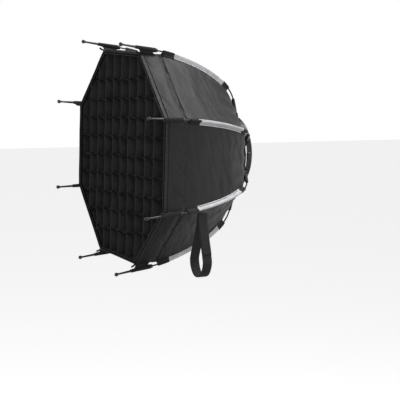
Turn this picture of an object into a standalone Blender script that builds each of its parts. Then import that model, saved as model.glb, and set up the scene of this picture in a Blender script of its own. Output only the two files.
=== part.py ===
"""Octagonal quick-open softbox with an egg-crate grid and a bayonet speed ring.

The optical axis lies along Y. The seating face of the bayonet ring is at y = 0 and the
softbox opens towards -Y, with +Z up. Each rib is modelled in its own plane, with X pointing
out from the optical axis, Y along it and Z around it, and hangs under an empty on its hinge.
Depths are distances behind the front plane of the fabric. All lengths are in metres.
"""

import math

import bpy
import bmesh
from mathutils import Vector

# Overall size
CORNER_RADIUS = 0.225
DEPTH = 0.272
SIDES = 8
HALF_STEP = math.pi / SIDES
GAP = 0.0003

# Fabric shell
SHELL_THICK = 0.001
SHELL_BOW = 0.004
FLANGE_DEPTH = 0.2431
FLANGE_INNER_RADIUS = 0.0585
FLANGE_OUTER_RADIUS = 0.0755
SEAM_GAP = 0.0034
SEAM_GAP_REAR = 0.0036
SEAM_GAP_FRONT = 0.0040
RIM_THICK = 0.0028
RIM_WIDTH = 0.0065

# Egg-crate grid, diffusers
GRID_APOTHEM = 0.2038
GRID_PITCH = 0.0385
GRID_COUNT = 9
GRID_FRONT = 0.002
GRID_REAR = 0.040
STRIP_THICK = 0.0008
DIFFUSER_DEPTH = 0.0425
DIFFUSER_THICK = 0.0008
DIFFUSER_APOTHEM = 0.2030
BAFFLE_DEPTH = 0.130
BAFFLE_RADIUS = 0.172
TIE_LENGTH = 0.018

# Ribs: rod centreline from the root sleeve to the tip sleeve, as (radius, depth)
PIVOT_RADIUS = 0.079
PIVOT_DEPTH = 0.2515
ROD_RADIUS = 0.0015
ROD_CURVE = ((0.125, 0.234), (0.181, 0.2075), (0.222, 0.0945), (0.231, 0.038))
ROD_STEPS = 10
TIP_END = (0.243, -0.042)
SOCKET_RADIUS = 0.0019
SOCKET_LENGTH = 0.010
CHANNEL_START = 0.15
CHANNEL_END = 0.93
CHANNEL_STEPS = 8

# Hub
HUB_BORE = 0.050
HUB_RADIUS = 0.076
HUB_FRONT = 0.2444
HUB_REAR = 0.264
HUB_WALL = 0.003
HUB_SEGMENTS = 40
EAR_THICK = 0.003
EAR_INNER = 0.0057
ROOT_HALF_WIDTH = 0.0050
WIRE_RADIUS = 0.00125
EYE_RADIUS = 0.0017
COVER_REAR = 0.268
NECK_RADIUS = 0.0495
NECK_BORE = 0.043
FLANGE_RADIUS = 0.062
LUG_COUNT = 3
LUG_REACH = 0.010
SCREW_COUNT = 4
SCREW_CIRCLE = 0.0572
SCREW_SHANK = 0.0013
SCREW_HEAD = 0.0026
SCREW_HOLE = 0.0017
SCREW_RECESS = 0.0030
SCREW_SEAT = 0.2698

# Release buttons and lock ring
BUTTON_DEPTH = 0.2585
BUTTON_HALF_WIDTH = 0.008
BUTTON_HALF_HEIGHT = 0.0036
SPRING_RADIUS = 0.0024
SPRING_WIRE = 0.0004
SPRING_TURNS = 4
LOCK_INNER = 0.058
LOCK_OUTER = 0.0662
LOCK_FRONT = 0.2479
LOCK_REAR = 0.2505

# Carry strap, hanging from the lower near rib
STRAP_TOP = (0.1990, 0.0885, -0.0915)
STRAP_WIDTH = 0.020
STRAP_THICK = 0.0016
STRAP_DROP = 0.1245
STRAP_WIDEST = 0.092
STRAP_HALF_OPEN = 0.0265

BLACK_FABRIC = ("black_fabric", (0.030, 0.030, 0.033), 0.75, 0.0)
CHANNEL_GREY = ("channel_grey", (0.52, 0.52, 0.53), 0.60, 0.0)
DIFFUSER_WHITE = ("diffuser_white", (0.86, 0.86, 0.84), 0.80, 0.0)
GRID_BLACK = ("grid_black", (0.022, 0.022, 0.024), 0.80, 0.0)
ROD_BLACK = ("rod_black", (0.020, 0.020, 0.022), 0.35, 0.2)
HUB_PLASTIC = ("hub_plastic", (0.025, 0.025, 0.027), 0.45, 0.0)
BRIGHT_STEEL = ("bright_steel", (0.62, 0.62, 0.63), 0.25, 1.0)
BAYONET_ALLOY = ("bayonet_alloy", (0.55, 0.55, 0.56), 0.35, 1.0)


def clear_scene():
    for obj in list(bpy.data.objects):
        bpy.data.objects.remove(obj)


def station(depth):
    """World y of a point that lies this far behind the front plane."""
    return depth - DEPTH


def surface(spec):
    """The Principled material for a (name, colour, roughness, metallic) entry."""
    name, colour, roughness, metallic = spec
    material = bpy.data.materials.get(name)
    if material is None:
        material = bpy.data.materials.new(name)
        material.use_nodes = True
        shader = material.node_tree.nodes["Principled BSDF"]
        shader.inputs["Base Color"].default_value = (*colour, 1.0)
        shader.inputs["Roughness"].default_value = roughness
        shader.inputs["Metallic"].default_value = metallic
    return material


def mesh_from(name, points, faces):
    """A closed mesh with its faces pointing out."""
    mesh = bpy.data.meshes.new(name)
    mesh.from_pydata([tuple(p) for p in points], [], faces)
    form = bmesh.new()
    form.from_mesh(mesh)
    bmesh.ops.recalc_face_normals(form, faces=form.faces)
    form.to_mesh(mesh)
    form.free()
    return mesh


def add_node(name, mesh, spec, parent=None, smooth=True):
    """Put one named piece in the scene, in world space or under its hinge empty."""
    if smooth:
        mesh.shade_smooth()
        mesh.set_sharp_from_angle(angle=math.radians(35))
    mesh.materials.clear()
    mesh.materials.append(surface(spec))
    obj = bpy.data.objects.new(name, mesh)
    bpy.context.collection.objects.link(obj)
    obj.parent = parent
    return obj


def combined(name, meshes):
    """One mesh that holds several closed bodies side by side."""
    form = bmesh.new()
    for mesh in meshes:
        form.from_mesh(mesh)
    result = bpy.data.meshes.new(name)
    form.to_mesh(result)
    form.free()
    return result


def boolean(mesh, other, operation):
    """The mesh after an exact union with, or cut by, another mesh."""
    target = bpy.data.objects.new("target", mesh)
    tool = bpy.data.objects.new("tool", other)
    for obj in (target, tool):
        bpy.context.collection.objects.link(obj)
    modifier = target.modifiers.new("boolean", "BOOLEAN")
    modifier.solver = "EXACT"
    modifier.operation = operation
    modifier.object = tool
    bpy.context.view_layer.update()
    graph = bpy.context.evaluated_depsgraph_get()
    result = bpy.data.meshes.new_from_object(target.evaluated_get(graph))
    for obj in (target, tool):
        bpy.data.objects.remove(obj)
    return result


def box_mesh(low, high):
    """An axis-aligned box between two corners."""
    x0, y0, z0 = low
    x1, y1, z1 = high
    points = [(x, y, z) for x in (x0, x1) for y in (y0, y1) for z in (z0, z1)]
    faces = [(0, 1, 3, 2), (4, 6, 7, 5), (0, 4, 5, 1), (2, 3, 7, 6), (0, 2, 6, 4), (1, 5, 7, 3)]
    return mesh_from("box", points, faces)


def turned(profile, segments, axis_point, axis, reference, closed=False):
    """A body turned about an axis from (radius, distance along the axis) points.

    A closed profile makes a ring. An open one starts and ends on the axis.
    """
    centre = Vector(axis_point)
    along = Vector(axis).normalized()
    first = Vector(reference).normalized()
    second = along.cross(first)
    rings = []
    points = []
    for radius, distance in profile:
        middle = centre + along * distance
        if radius < 1e-9:
            rings.append([len(points)] * segments)
            points.append(middle)
            continue
        rings.append(list(range(len(points), len(points) + segments)))
        for k in range(segments):
            turn = 2 * math.pi * k / segments
            points.append(middle + (first * math.cos(turn) + second * math.sin(turn)) * radius)
    faces = []
    pairs = len(rings) if closed else len(rings) - 1
    for i in range(pairs):
        ring, following = rings[i], rings[(i + 1) % len(rings)]
        for k in range(segments):
            m = (k + 1) % segments
            corners = (ring[k], ring[m], following[m], following[k])
            face = tuple(dict.fromkeys(corners))
            if len(face) > 2:
                faces.append(face)
    return mesh_from("turned", points, faces)


def turned_about_y(profile, segments, closed=True):
    """A ring about the optical axis from (radius, depth) points."""
    ring = [(radius, station(depth)) for radius, depth in profile]
    return turned(ring, segments, (0, 0, 0), (0, 1, 0), (1, 0, 0), closed)


def arc_block(inner, outer, front, rear, start, end, steps):
    """A block bounded by two radii, two depths and two angles about the optical axis."""
    points = []
    for i in range(steps + 1):
        turn = start + (end - start) * i / steps
        for radius, depth in ((inner, front), (outer, front), (outer, rear), (inner, rear)):
            points.append((radius * math.cos(turn), station(depth), radius * math.sin(turn)))
    faces = [(0, 1, 2, 3), tuple(4 * steps + k for k in (3, 2, 1, 0))]
    for i in range(steps):
        for k in range(4):
            m = (k + 1) % 4
            faces.append((4 * i + k, 4 * i + m, 4 * i + 4 + m, 4 * i + 4 + k))
    return mesh_from("arc_block", points, faces)


def extruded(outline, half_width):
    """A flat outline in a rib's plane, given its width around the optical axis."""
    count = len(outline)
    points = [(x, y, side * half_width) for side in (-1, 1) for x, y in outline]
    faces = [tuple(range(count)), tuple(range(2 * count - 1, count - 1, -1))]
    for k in range(count):
        m = (k + 1) % count
        faces.append((k, m, count + m, count + k))
    return mesh_from("extruded", points, faces)


def swept(path, section):
    """A section of (outward, around) offsets carried along a path in a rib's plane."""
    count = len(section)
    points = []
    for i, (x, y) in enumerate(path):
        ahead = path[min(i + 1, len(path) - 1)]
        behind = path[max(i - 1, 0)]
        run = Vector((ahead[0] - behind[0], ahead[1] - behind[1])).normalized()
        outward = Vector((-run.y, run.x))
        for out, around in section:
            points.append((x + outward.x * out, y + outward.y * out, around))
    faces = [tuple(range(count)), tuple(range(len(points) - 1, len(points) - 1 - count, -1))]
    for i in range(len(path) - 1):
        for k in range(count):
            m = (k + 1) % count
            faces.append((i * count + k, i * count + m, (i + 1) * count + m, (i + 1) * count + k))
    return mesh_from("swept", points, faces)


def bezier(control, t):
    """A point on a cubic curve."""
    s = 1 - t
    weights = (s ** 3, 3 * s * s * t, 3 * s * t * t, t ** 3)
    return Vector(tuple(sum(w * p[k] for w, p in zip(weights, control)) for k in (0, 1)))


def rod_point(t):
    """The rod's centreline as (radius, depth), from the root sleeve to the tip sleeve."""
    return bezier(ROD_CURVE, t)


def rod_outward(t):
    """The unit direction away from the fabric, square to the rod."""
    run = (rod_point(t + 1e-3) - rod_point(t - 1e-3)).normalized()
    return Vector((-run.y, run.x))


def seam_gap(t):
    """How far the fabric's corner seam lies inside the rod's centreline."""
    return SEAM_GAP + SEAM_GAP_REAR * (1 - t) ** 4 + SEAM_GAP_FRONT * t ** 10


def corner_profile(steps=6):
    """The fabric's outer surface at a corner, as (radius, depth) from the hub forwards."""
    profile = [Vector((FLANGE_INNER_RADIUS, FLANGE_DEPTH)), Vector((FLANGE_OUTER_RADIUS, FLANGE_DEPTH))]
    for i in range(steps + 1):
        t = i / steps
        profile.append(rod_point(t) - rod_outward(t) * seam_gap(t))
    profile.append(Vector((CORNER_RADIUS, RIM_THICK / 2)))
    return profile


def rib_angle(index):
    """The angle of a rib about the optical axis, from +X towards +Z."""
    return HALF_STEP + 2 * HALF_STEP * index


def rib_pivot(index):
    """The empty on a rib's hinge axis. Its X points out and its Z lies along the hinge."""
    turn = rib_angle(index)
    empty = bpy.data.objects.new(f"rib_{index + 1}_pivot", None)
    bpy.context.collection.objects.link(empty)
    place = (PIVOT_RADIUS * math.cos(turn), station(PIVOT_DEPTH), PIVOT_RADIUS * math.sin(turn))
    empty.location = place
    empty.rotation_euler = (0, -turn, 0)
    return empty


def local(point):
    """A (radius, depth) point in a rib's own plane, measured from its hinge."""
    return Vector((point[0] - PIVOT_RADIUS, point[1] - PIVOT_DEPTH))


def circle(radius, sides):
    return [
        (radius * math.cos(2 * math.pi * k / sides), radius * math.sin(2 * math.pi * k / sides))
        for k in range(sides)
    ]


def sleeve_run():
    """The start and unit direction of the root sleeve, from the hinge to the rod."""
    reach = local(ROD_CURVE[0])
    return reach.length, reach.normalized()


def root_mesh():
    """The plastic rib root: a catch tail, a hinge eye and a tapered sleeve for the rod."""
    length, run = sleeve_run()
    side = Vector((-run.y, run.x))
    neck = run * 0.016
    outline = [(-0.0095, -0.0022), (-0.0095, 0.0024), (-0.003, 0.0042), (0.002, 0.0046)]
    outline += [tuple(neck + side * 0.0042), tuple(neck - side * 0.0042), (0.0, -0.0046)]
    lever = extruded(outline, ROOT_HALF_WIDTH)
    bore_end = length - 0.022
    profile = [
        (0.0, 0.0145), (0.0036, 0.0145), (0.0046, 0.018), (0.0043, 0.030), (0.0033, length),
        (SOCKET_RADIUS, length), (SOCKET_RADIUS, bore_end), (0.0, bore_end),
    ]
    sleeve = turned(profile, 10, (0, 0, 0), (run.x, run.y, 0), (0, 0, 1))
    body = boolean(lever, sleeve, "UNION")
    hole = turned(
        [(0, -0.008), (EYE_RADIUS, -0.008), (EYE_RADIUS, 0.008), (0, 0.008)],
        10, (0, 0, 0), (0, 0, 1), (1, 0, 0),
    )
    return boolean(body, hole, "DIFFERENCE")


def rod_mesh():
    """The sprung steel rod, seated in the sleeves at both of its ends."""
    length, run = sleeve_run()
    tip_run = (Vector(TIP_END) - Vector(ROD_CURVE[3])).normalized()
    path = [tuple(local(ROD_CURVE[0]) - run * 0.020)]
    path += [tuple(local(rod_point(i / ROD_STEPS))) for i in range(ROD_STEPS + 1)]
    path.append(tuple(local(ROD_CURVE[3]) + tip_run * (SOCKET_LENGTH - 2 * GAP)))
    return swept(path, circle(ROD_RADIUS, 8))


def tip_mesh():
    """The tapered plastic tip sleeve with its ball end."""
    start = local(ROD_CURVE[3])
    end = local(TIP_END)
    length = (end - start).length
    ball = 0.0039
    profile = [
        (0.0, SOCKET_LENGTH), (SOCKET_RADIUS, SOCKET_LENGTH), (SOCKET_RADIUS, 0.0), (0.0033, 0.0),
        (0.0039, 0.0015), (0.0038, 0.013), (0.0030, 0.016), (0.0018, length - 0.0045),
    ]
    for turn in (-0.75, -0.15, 0.45, 1.05):
        profile.append((ball * math.cos(turn), length + ball * math.sin(turn)))
    profile.append((0.0, length + ball))
    run = (end - start).normalized()
    return turned(profile, 10, (start.x, start.y, 0), (run.x, run.y, 0), (0, 0, 1))


def channel_mesh():
    """The grey binding sewn over the rod, open towards the fabric."""
    section = [
        (-0.0022, -0.0055), (0.0012, -0.0046), (0.0031, 0.0), (0.0012, 0.0046), (-0.0022, 0.0055),
        (-0.0022, 0.0022), (0.0020, 0.0013), (0.0020, -0.0013), (-0.0022, -0.0022),
    ]
    span = CHANNEL_END - CHANNEL_START
    stops = [CHANNEL_START + span * i / CHANNEL_STEPS for i in range(CHANNEL_STEPS + 1)]
    return swept([tuple(local(rod_point(t))) for t in stops], section)


def build_ribs():
    """Eight ribs, each of a root, a rod, a tip and a binding, under one hinge empty."""
    pieces = (
        ("root", root_mesh(), HUB_PLASTIC), ("rod", rod_mesh(), ROD_BLACK),
        ("tip", tip_mesh(), HUB_PLASTIC), ("channel", channel_mesh(), CHANNEL_GREY),
    )
    for index in range(SIDES):
        pivot = rib_pivot(index)
        for part, mesh, spec in pieces:
            add_node(f"rib_{index + 1}_{part}", mesh.copy(), spec, pivot)


def panel_mesh(index):
    """One side of the fabric shell, between two corner seams, bowed in by its tension."""
    first, last = rib_angle(index), rib_angle(index + 1)
    profile = corner_profile()
    columns = 2
    points = []
    for layer in (0, 1):
        for row, (radius, depth) in enumerate(profile):
            share = row / (len(profile) - 1)
            bow = SHELL_BOW * math.sin(math.pi * share) ** 2
            ahead = profile[min(row + 1, len(profile) - 1)]
            behind = profile[max(row - 1, 0)]
            run = (ahead - behind).normalized()
            inward = Vector((run.y, -run.x)) * (SHELL_THICK * layer)
            if row < 2:
                inward = Vector((0, -SHELL_THICK * layer))
                bow = 0.0
            edge = radius + inward.x
            for column in range(columns + 1):
                side = column / columns
                width = 2 * edge * math.sin(HALF_STEP) - 2 * GAP
                middle = (first + last) / 2
                out = edge * math.cos(HALF_STEP) - bow * 4 * side * (1 - side)
                across = (side - 0.5) * width
                x = out * math.cos(middle) - across * math.sin(middle)
                z = out * math.sin(middle) + across * math.cos(middle)
                points.append((x, station(depth + inward.y), z))
    rows = len(profile)
    wide = columns + 1
    layer_size = rows * wide
    faces = []
    for layer in (0, 1):
        base = layer * layer_size
        for row in range(rows - 1):
            for column in range(columns):
                corner = base + row * wide + column
                faces.append((corner, corner + 1, corner + wide + 1, corner + wide))
    for row in (0, rows - 1):
        for column in range(columns):
            a = row * wide + column
            faces.append((a, a + 1, layer_size + a + 1, layer_size + a))
    for column in (0, columns):
        for row in range(rows - 1):
            a = row * wide + column
            faces.append((a, a + wide, layer_size + a + wide, layer_size + a))
    return mesh_from("panel", points, faces)


def octagon(radius, depth):
    """The eight corners of an octagon about the optical axis, in line with the ribs."""
    corners = []
    for index in range(SIDES):
        turn = rib_angle(index)
        corners.append((radius * math.cos(turn), station(depth), radius * math.sin(turn)))
    return corners


def octagon_plate(radius, front, rear):
    """A flat octagonal sheet between two depths."""
    points = octagon(radius, front) + octagon(radius, rear)
    faces = [tuple(range(SIDES)), tuple(range(2 * SIDES - 1, SIDES - 1, -1))]
    for k in range(SIDES):
        m = (k + 1) % SIDES
        faces.append((k, m, SIDES + m, SIDES + k))
    return mesh_from("plate", points, faces)


def octagon_band(outer, inner, front, rear):
    """An octagonal band with a rectangular section."""
    points = octagon(outer, front) + octagon(outer, rear)
    points += octagon(inner, rear) + octagon(inner, front)
    faces = []
    for ring in range(4):
        following = (ring + 1) % 4
        for k in range(SIDES):
            m = (k + 1) % SIDES
            near, far = ring * SIDES, following * SIDES
            faces.append((near + k, near + m, far + m, far + k))
    return mesh_from("band", points, faces)


def build_shell():
    """Eight side panels and the bound edge at the front."""
    for index in range(SIDES):
        add_node(f"side_panel_{index + 1}", panel_mesh(index), BLACK_FABRIC)
    half = RIM_THICK / 2
    rim = octagon_band(CORNER_RADIUS + 2 * GAP, CORNER_RADIUS - RIM_WIDTH, -half, half - GAP)
    add_node("front_rim", rim, BLACK_FABRIC, smooth=False)


def grid_reach(offset):
    """Half the length of a grid strip that lies this far off centre, into the border."""
    straight = GRID_APOTHEM + 0.0004
    slanting = GRID_APOTHEM * math.sqrt(2) - abs(offset)
    return min(straight, slanting)


def build_grid():
    """The egg-crate: upright and level strips sewn together and into a bound border."""
    lines = [(i - (GRID_COUNT - 1) / 2) * GRID_PITCH for i in range(GRID_COUNT)]
    front, rear = station(GRID_FRONT), station(GRID_REAR)
    half = STRIP_THICK / 2
    uprights = []
    levels = []
    for place in lines:
        reach = grid_reach(place)
        low, high = place - half, place + half
        uprights.append(box_mesh((low, front, -reach), (high, rear, reach)))
        levels.append(box_mesh((-reach, front, low), (reach, rear, high)))
    wide = 1 / math.cos(HALF_STEP)
    border = octagon_band((GRID_APOTHEM + 0.001) * wide, GRID_APOTHEM * wide, GRID_FRONT, GRID_REAR)
    lattice = boolean(combined("uprights", uprights), combined("levels", levels), "UNION")
    add_node("egg_crate_grid", boolean(border, lattice, "UNION"), GRID_BLACK, smooth=False)


def build_diffusers():
    """The front diffuser behind the grid, and the inner baffle on its eight elastic ties."""
    radius = DIFFUSER_APOTHEM / math.cos(HALF_STEP)
    front = octagon_plate(radius, DIFFUSER_DEPTH, DIFFUSER_DEPTH + DIFFUSER_THICK)
    add_node("front_diffuser", front, DIFFUSER_WHITE, smooth=False)
    baffle = octagon_plate(BAFFLE_RADIUS, BAFFLE_DEPTH, BAFFLE_DEPTH + DIFFUSER_THICK)
    ties = []
    for index in range(SIDES):
        turn = rib_angle(index)
        inner = BAFFLE_RADIUS - 0.006
        half_angle = 0.0025 / inner
        ties.append(arc_block(
            inner, BAFFLE_RADIUS + TIE_LENGTH, BAFFLE_DEPTH - 0.0002, BAFFLE_DEPTH + 0.001,
            turn - half_angle, turn + half_angle, 1,
        ))
    tied = boolean(baffle, combined("ties", ties), "UNION")
    add_node("inner_baffle", tied, DIFFUSER_WHITE, smooth=False)


def rib_box(low, high, index):
    """A box given by (radius, depth, around) corners in the plane of a rib."""
    turn = rib_angle(index)
    block = box_mesh((low[0], station(low[1]), low[2]), (high[0], station(high[1]), high[2]))
    for vertex in block.vertices:
        x, y, z = vertex.co
        vertex.co = (
            x * math.cos(turn) - z * math.sin(turn), y, x * math.sin(turn) + z * math.cos(turn)
        )
    return block


def around_axis(index):
    """The hinge direction of a rib and a point on its hinge, in world space."""
    turn = rib_angle(index)
    centre = (PIVOT_RADIUS * math.cos(turn), station(PIVOT_DEPTH), PIVOT_RADIUS * math.sin(turn))
    return centre, (-math.sin(turn), 0, math.cos(turn))


def hub_mesh():
    """The hub: an open-backed channel ring with a pair of hinge ears at each rib."""
    front_face = HUB_FRONT + 0.0026
    wall = HUB_BORE + HUB_WALL
    profile = [
        (HUB_BORE, 0.2405), (wall, 0.2405), (wall, HUB_FRONT), (HUB_RADIUS, HUB_FRONT),
        (HUB_RADIUS, HUB_REAR), (HUB_RADIUS - 0.0035, HUB_REAR), (HUB_RADIUS - 0.0035, front_face),
        (wall, front_face), (wall, HUB_REAR), (HUB_BORE, HUB_REAR),
    ]
    ring = turned_about_y(profile, HUB_SEGMENTS)
    ears = []
    slots = []
    holes = []
    for index in range(SIDES):
        outer = EAR_INNER + EAR_THICK
        for near, far in ((-outer, -EAR_INNER), (EAR_INNER, outer)):
            ears.append(rib_box((0.0735, 0.2462, near), (0.0842, 0.2568, far), index))
        slots.append(rib_box((0.0700, 0.2472, -EAR_INNER), (0.0790, 0.2622, EAR_INNER), index))
        centre, along = around_axis(index)
        ends = [(0, -0.012), (EYE_RADIUS, -0.012), (EYE_RADIUS, 0.012), (0, 0.012)]
        holes.append(turned(ends, 10, centre, along, (0, 1, 0)))
    body = boolean(ring, combined("ears", ears), "UNION")
    body = boolean(body, combined("slots", slots), "DIFFERENCE")
    body = boolean(body, combined("holes", holes), "DIFFERENCE")
    wide = BUTTON_HALF_WIDTH + GAP
    high = BUTTON_HALF_HEIGHT + GAP
    windows = [
        box_mesh((side * 0.074 - 0.005, station(BUTTON_DEPTH - high), -wide),
                 (side * 0.074 + 0.005, station(BUTTON_DEPTH + high), wide))
        for side in (-1, 1)
    ]
    return boolean(body, combined("windows", windows), "DIFFERENCE")


def screw_mesh():
    """A pan-head screw along the optical axis, standing at the centre of its circle."""
    seat = SCREW_SEAT + GAP
    profile = [
        (0, HUB_REAR + 2 * GAP), (SCREW_SHANK, HUB_REAR + 2 * GAP),
        (SCREW_SHANK, seat), (SCREW_HEAD, seat),
        (SCREW_HEAD, seat + 0.0008), (SCREW_HEAD * 0.65, seat + 0.0014), (0, seat + 0.0014),
    ]
    return turned_about_y(profile, 10, closed=False)


def screw_places():
    """The (x, z) places of the screws on their circle about the optical axis."""
    turns = [math.pi / 4 + 2 * math.pi * k / SCREW_COUNT for k in range(SCREW_COUNT)]
    return [(SCREW_CIRCLE * math.cos(turn), SCREW_CIRCLE * math.sin(turn)) for turn in turns]


def drilled(mesh, places, radius, front, rear):
    """The mesh with holes along the optical axis at the given (x, z) places."""
    ends = [(0, station(front)), (radius, station(front)), (radius, station(rear)), (0, station(rear))]
    holes = [turned(ends, 10, (x, 0, z), (0, 1, 0), (1, 0, 0)) for x, z in places]
    return boolean(mesh, combined("holes", holes), "DIFFERENCE")


def bayonet_mesh(screws):
    """The alloy bayonet ring: a flange, a short neck and three hooked lugs behind it."""
    rear = DEPTH
    profile = [
        (NECK_BORE, 0.262), (NECK_RADIUS, 0.262), (NECK_RADIUS, COVER_REAR + GAP),
        (FLANGE_RADIUS, COVER_REAR + GAP), (FLANGE_RADIUS, rear), (NECK_BORE, rear),
    ]
    ring = turned_about_y(profile, HUB_SEGMENTS)
    ring = drilled(ring, screws, SCREW_HOLE, rear - 0.006, rear + 0.002)
    ring = drilled(ring, screws, SCREW_RECESS, SCREW_SEAT, rear + 0.003)
    for k in range(LUG_COUNT):
        middle = math.pi / 2 + 2 * math.pi * k / LUG_COUNT
        post = arc_block(
            0.0440, 0.0485, rear - 0.001, rear + LUG_REACH, middle - 0.30, middle + 0.30, 4
        )
        tip = rear + LUG_REACH - 0.0002
        hook = arc_block(0.0475, 0.0525, tip - 0.0033, tip, middle - 0.27, middle + 0.27, 4)
        ring = boolean(ring, boolean(post, hook, "UNION"), "UNION")
    return ring


def build_hub():
    """The speed ring and everything fixed to it."""
    add_node("hub_ring", hub_mesh(), HUB_PLASTIC)
    inner = HUB_BORE + HUB_WALL + GAP
    seat = FLANGE_DEPTH - SHELL_THICK - GAP
    clamp = [(inner, 0.2390), (0.0680, 0.2390), (0.0690, 0.2400), (0.0690, seat), (inner, seat)]
    add_node("fabric_clamp_ring", turned_about_y(clamp, HUB_SEGMENTS), HUB_PLASTIC)
    screws = screw_places()
    cover = [
        (HUB_BORE, HUB_REAR + GAP), (HUB_RADIUS, HUB_REAR + GAP), (HUB_RADIUS, COVER_REAR - 0.001),
        (HUB_RADIUS - 0.001, COVER_REAR), (HUB_BORE, COVER_REAR),
    ]
    plate = turned_about_y(cover, HUB_SEGMENTS)
    plate = drilled(plate, screws, SCREW_HOLE, HUB_REAR - 0.002, COVER_REAR + 0.002)
    add_node("hub_rear_cover", plate, HUB_PLASTIC)
    add_node("bayonet_ring", bayonet_mesh(screws), BAYONET_ALLOY)
    for number, (x, z) in enumerate(screws, 1):
        screw = add_node(f"mount_screw_{number}", screw_mesh(), BRIGHT_STEEL)
        screw.location = (x, 0, z)
    add_node("hinge_wire", wire_mesh(), BRIGHT_STEEL)


def wire_mesh():
    """The steel ring that threads every hinge, straight through the ears and round between."""
    straight = EAR_INNER + EAR_THICK + 0.0012
    reach = math.hypot(PIVOT_RADIUS, straight)
    lean = math.atan2(straight, PIVOT_RADIUS)
    between = HALF_STEP - lean
    centre_line = []
    for index in range(SIDES):
        turn = rib_angle(index)
        for offset in (-lean, lean, lean + between * 2 / 3, lean + between * 4 / 3):
            centre_line.append((turn + offset, reach))
    sides = 6
    points = []
    for turn, radius in centre_line:
        outward = Vector((math.cos(turn), 0, math.sin(turn)))
        for k in range(sides):
            angle = 2 * math.pi * k / sides
            offset = outward * math.cos(angle) + Vector((0, math.sin(angle), 0))
            centre = outward * radius + Vector((0, station(PIVOT_DEPTH), 0))
            points.append(centre + offset * WIRE_RADIUS)
    count = len(centre_line)
    faces = []
    for i in range(count):
        following = (i + 1) % count
        for k in range(sides):
            m = (k + 1) % sides
            faces.append((i * sides + k, i * sides + m, following * sides + m, following * sides + k))
    return mesh_from("wire", points, faces)


def spring_mesh(start, end, coil_radius, wire_radius, turns):
    """A compression spring along X."""
    steps = turns * 8
    sides = 5
    points = []
    for i in range(steps + 1):
        share = i / steps
        turn = 2 * math.pi * turns * share
        centre = Vector((start + (end - start) * share, 0, 0))
        spoke = Vector((0, math.cos(turn), math.sin(turn)))
        for k in range(sides):
            angle = 2 * math.pi * k / sides
            offset = spoke * math.cos(angle) + Vector((1, 0, 0)) * math.sin(angle)
            points.append(centre + spoke * coil_radius + offset * wire_radius)
    faces = [tuple(range(sides)), tuple(range(len(points) - 1, len(points) - 1 - sides, -1))]
    for i in range(steps):
        for k in range(sides):
            m = (k + 1) % sides
            faces.append((i * sides + k, i * sides + m, (i + 1) * sides + m, (i + 1) * sides + k))
    return mesh_from("spring", points, faces)


def stacked(sections):
    """A block along X from (x, half height, half width) rectangles."""
    points = []
    for x, high, wide in sections:
        points += [(x, -high, -wide), (x, high, -wide), (x, high, wide), (x, -high, wide)]
    last = 4 * (len(sections) - 1)
    faces = [(0, 1, 2, 3), (last, last + 1, last + 2, last + 3)]
    for i in range(0, last, 4):
        for k in range(4):
            m = (k + 1) % 4
            faces.append((i + k, i + m, i + 4 + m, i + 4 + k))
    return mesh_from("stacked", points, faces)


def build_release():
    """Two squeeze buttons on the hub's sides, their springs, and the lock ring they lift."""
    wall_inner = HUB_RADIUS - 0.0035
    cap_inner = 0.0665
    bezel = 0.001
    edge = 0.0008
    wide, high = BUTTON_HALF_WIDTH, BUTTON_HALF_HEIGHT
    outer = HUB_RADIUS + 0.0042
    for side, label in ((1, "near"), (-1, "far")):
        button = stacked([
            (side * cap_inner, high + bezel, wide + bezel),
            (side * (wall_inner - 0.001), high + bezel, wide + bezel),
            (side * (wall_inner - 0.001), high, wide),
            (side * (outer - edge), high, wide),
            (side * outer, high - edge, wide - edge),
        ])
        cap = add_node(f"release_button_{label}", button, HUB_PLASTIC, smooth=False)
        cap.location = (0, station(BUTTON_DEPTH), 0)
        start = side * (HUB_BORE + HUB_WALL + 3 * GAP)
        end = side * (cap_inner - 3 * GAP)
        coil = spring_mesh(start, end, SPRING_RADIUS, SPRING_WIRE, SPRING_TURNS)
        spring = add_node(f"button_spring_{label}", coil, BRIGHT_STEEL)
        spring.location = (0, station(BUTTON_DEPTH), 0)
    lock = [
        (LOCK_INNER, LOCK_FRONT), (LOCK_OUTER, LOCK_FRONT),
        (LOCK_OUTER, LOCK_REAR), (LOCK_INNER, LOCK_REAR),
    ]
    add_node("lock_ring", turned_about_y(lock, HUB_SEGMENTS), BRIGHT_STEEL)


def strap_half_gap(drop):
    """Half the distance between the strap's two legs, this far below its top."""
    start = 0.006
    least = STRAP_THICK / 2 + 0.0005
    if drop < start:
        return least
    if drop < STRAP_WIDEST:
        share = (drop - start) / (STRAP_WIDEST - start)
        return least + (STRAP_HALF_OPEN - least) * share ** 1.6 * (1.6 - 0.6 * share)
    share = (drop - STRAP_WIDEST) / (STRAP_DROP - STRAP_WIDEST)
    return STRAP_HALF_OPEN * math.sqrt(max(0.0, 1 - share * share))


def strap_path():
    """The strap's middle line as (x, z) points about its top, down the near leg and back."""
    drops = [0.0, 0.012, 0.026, 0.041, 0.056, 0.072, STRAP_WIDEST]
    round_end = STRAP_DROP - STRAP_WIDEST
    drops += [STRAP_WIDEST + round_end * math.sin(turn) for turn in (0.4, 0.8, 1.15, 1.4)]
    near = [(strap_half_gap(drop), -drop) for drop in drops]
    far = [(-x, z) for x, z in reversed(near)]
    return near + [(0.0, -STRAP_DROP)] + far


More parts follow.
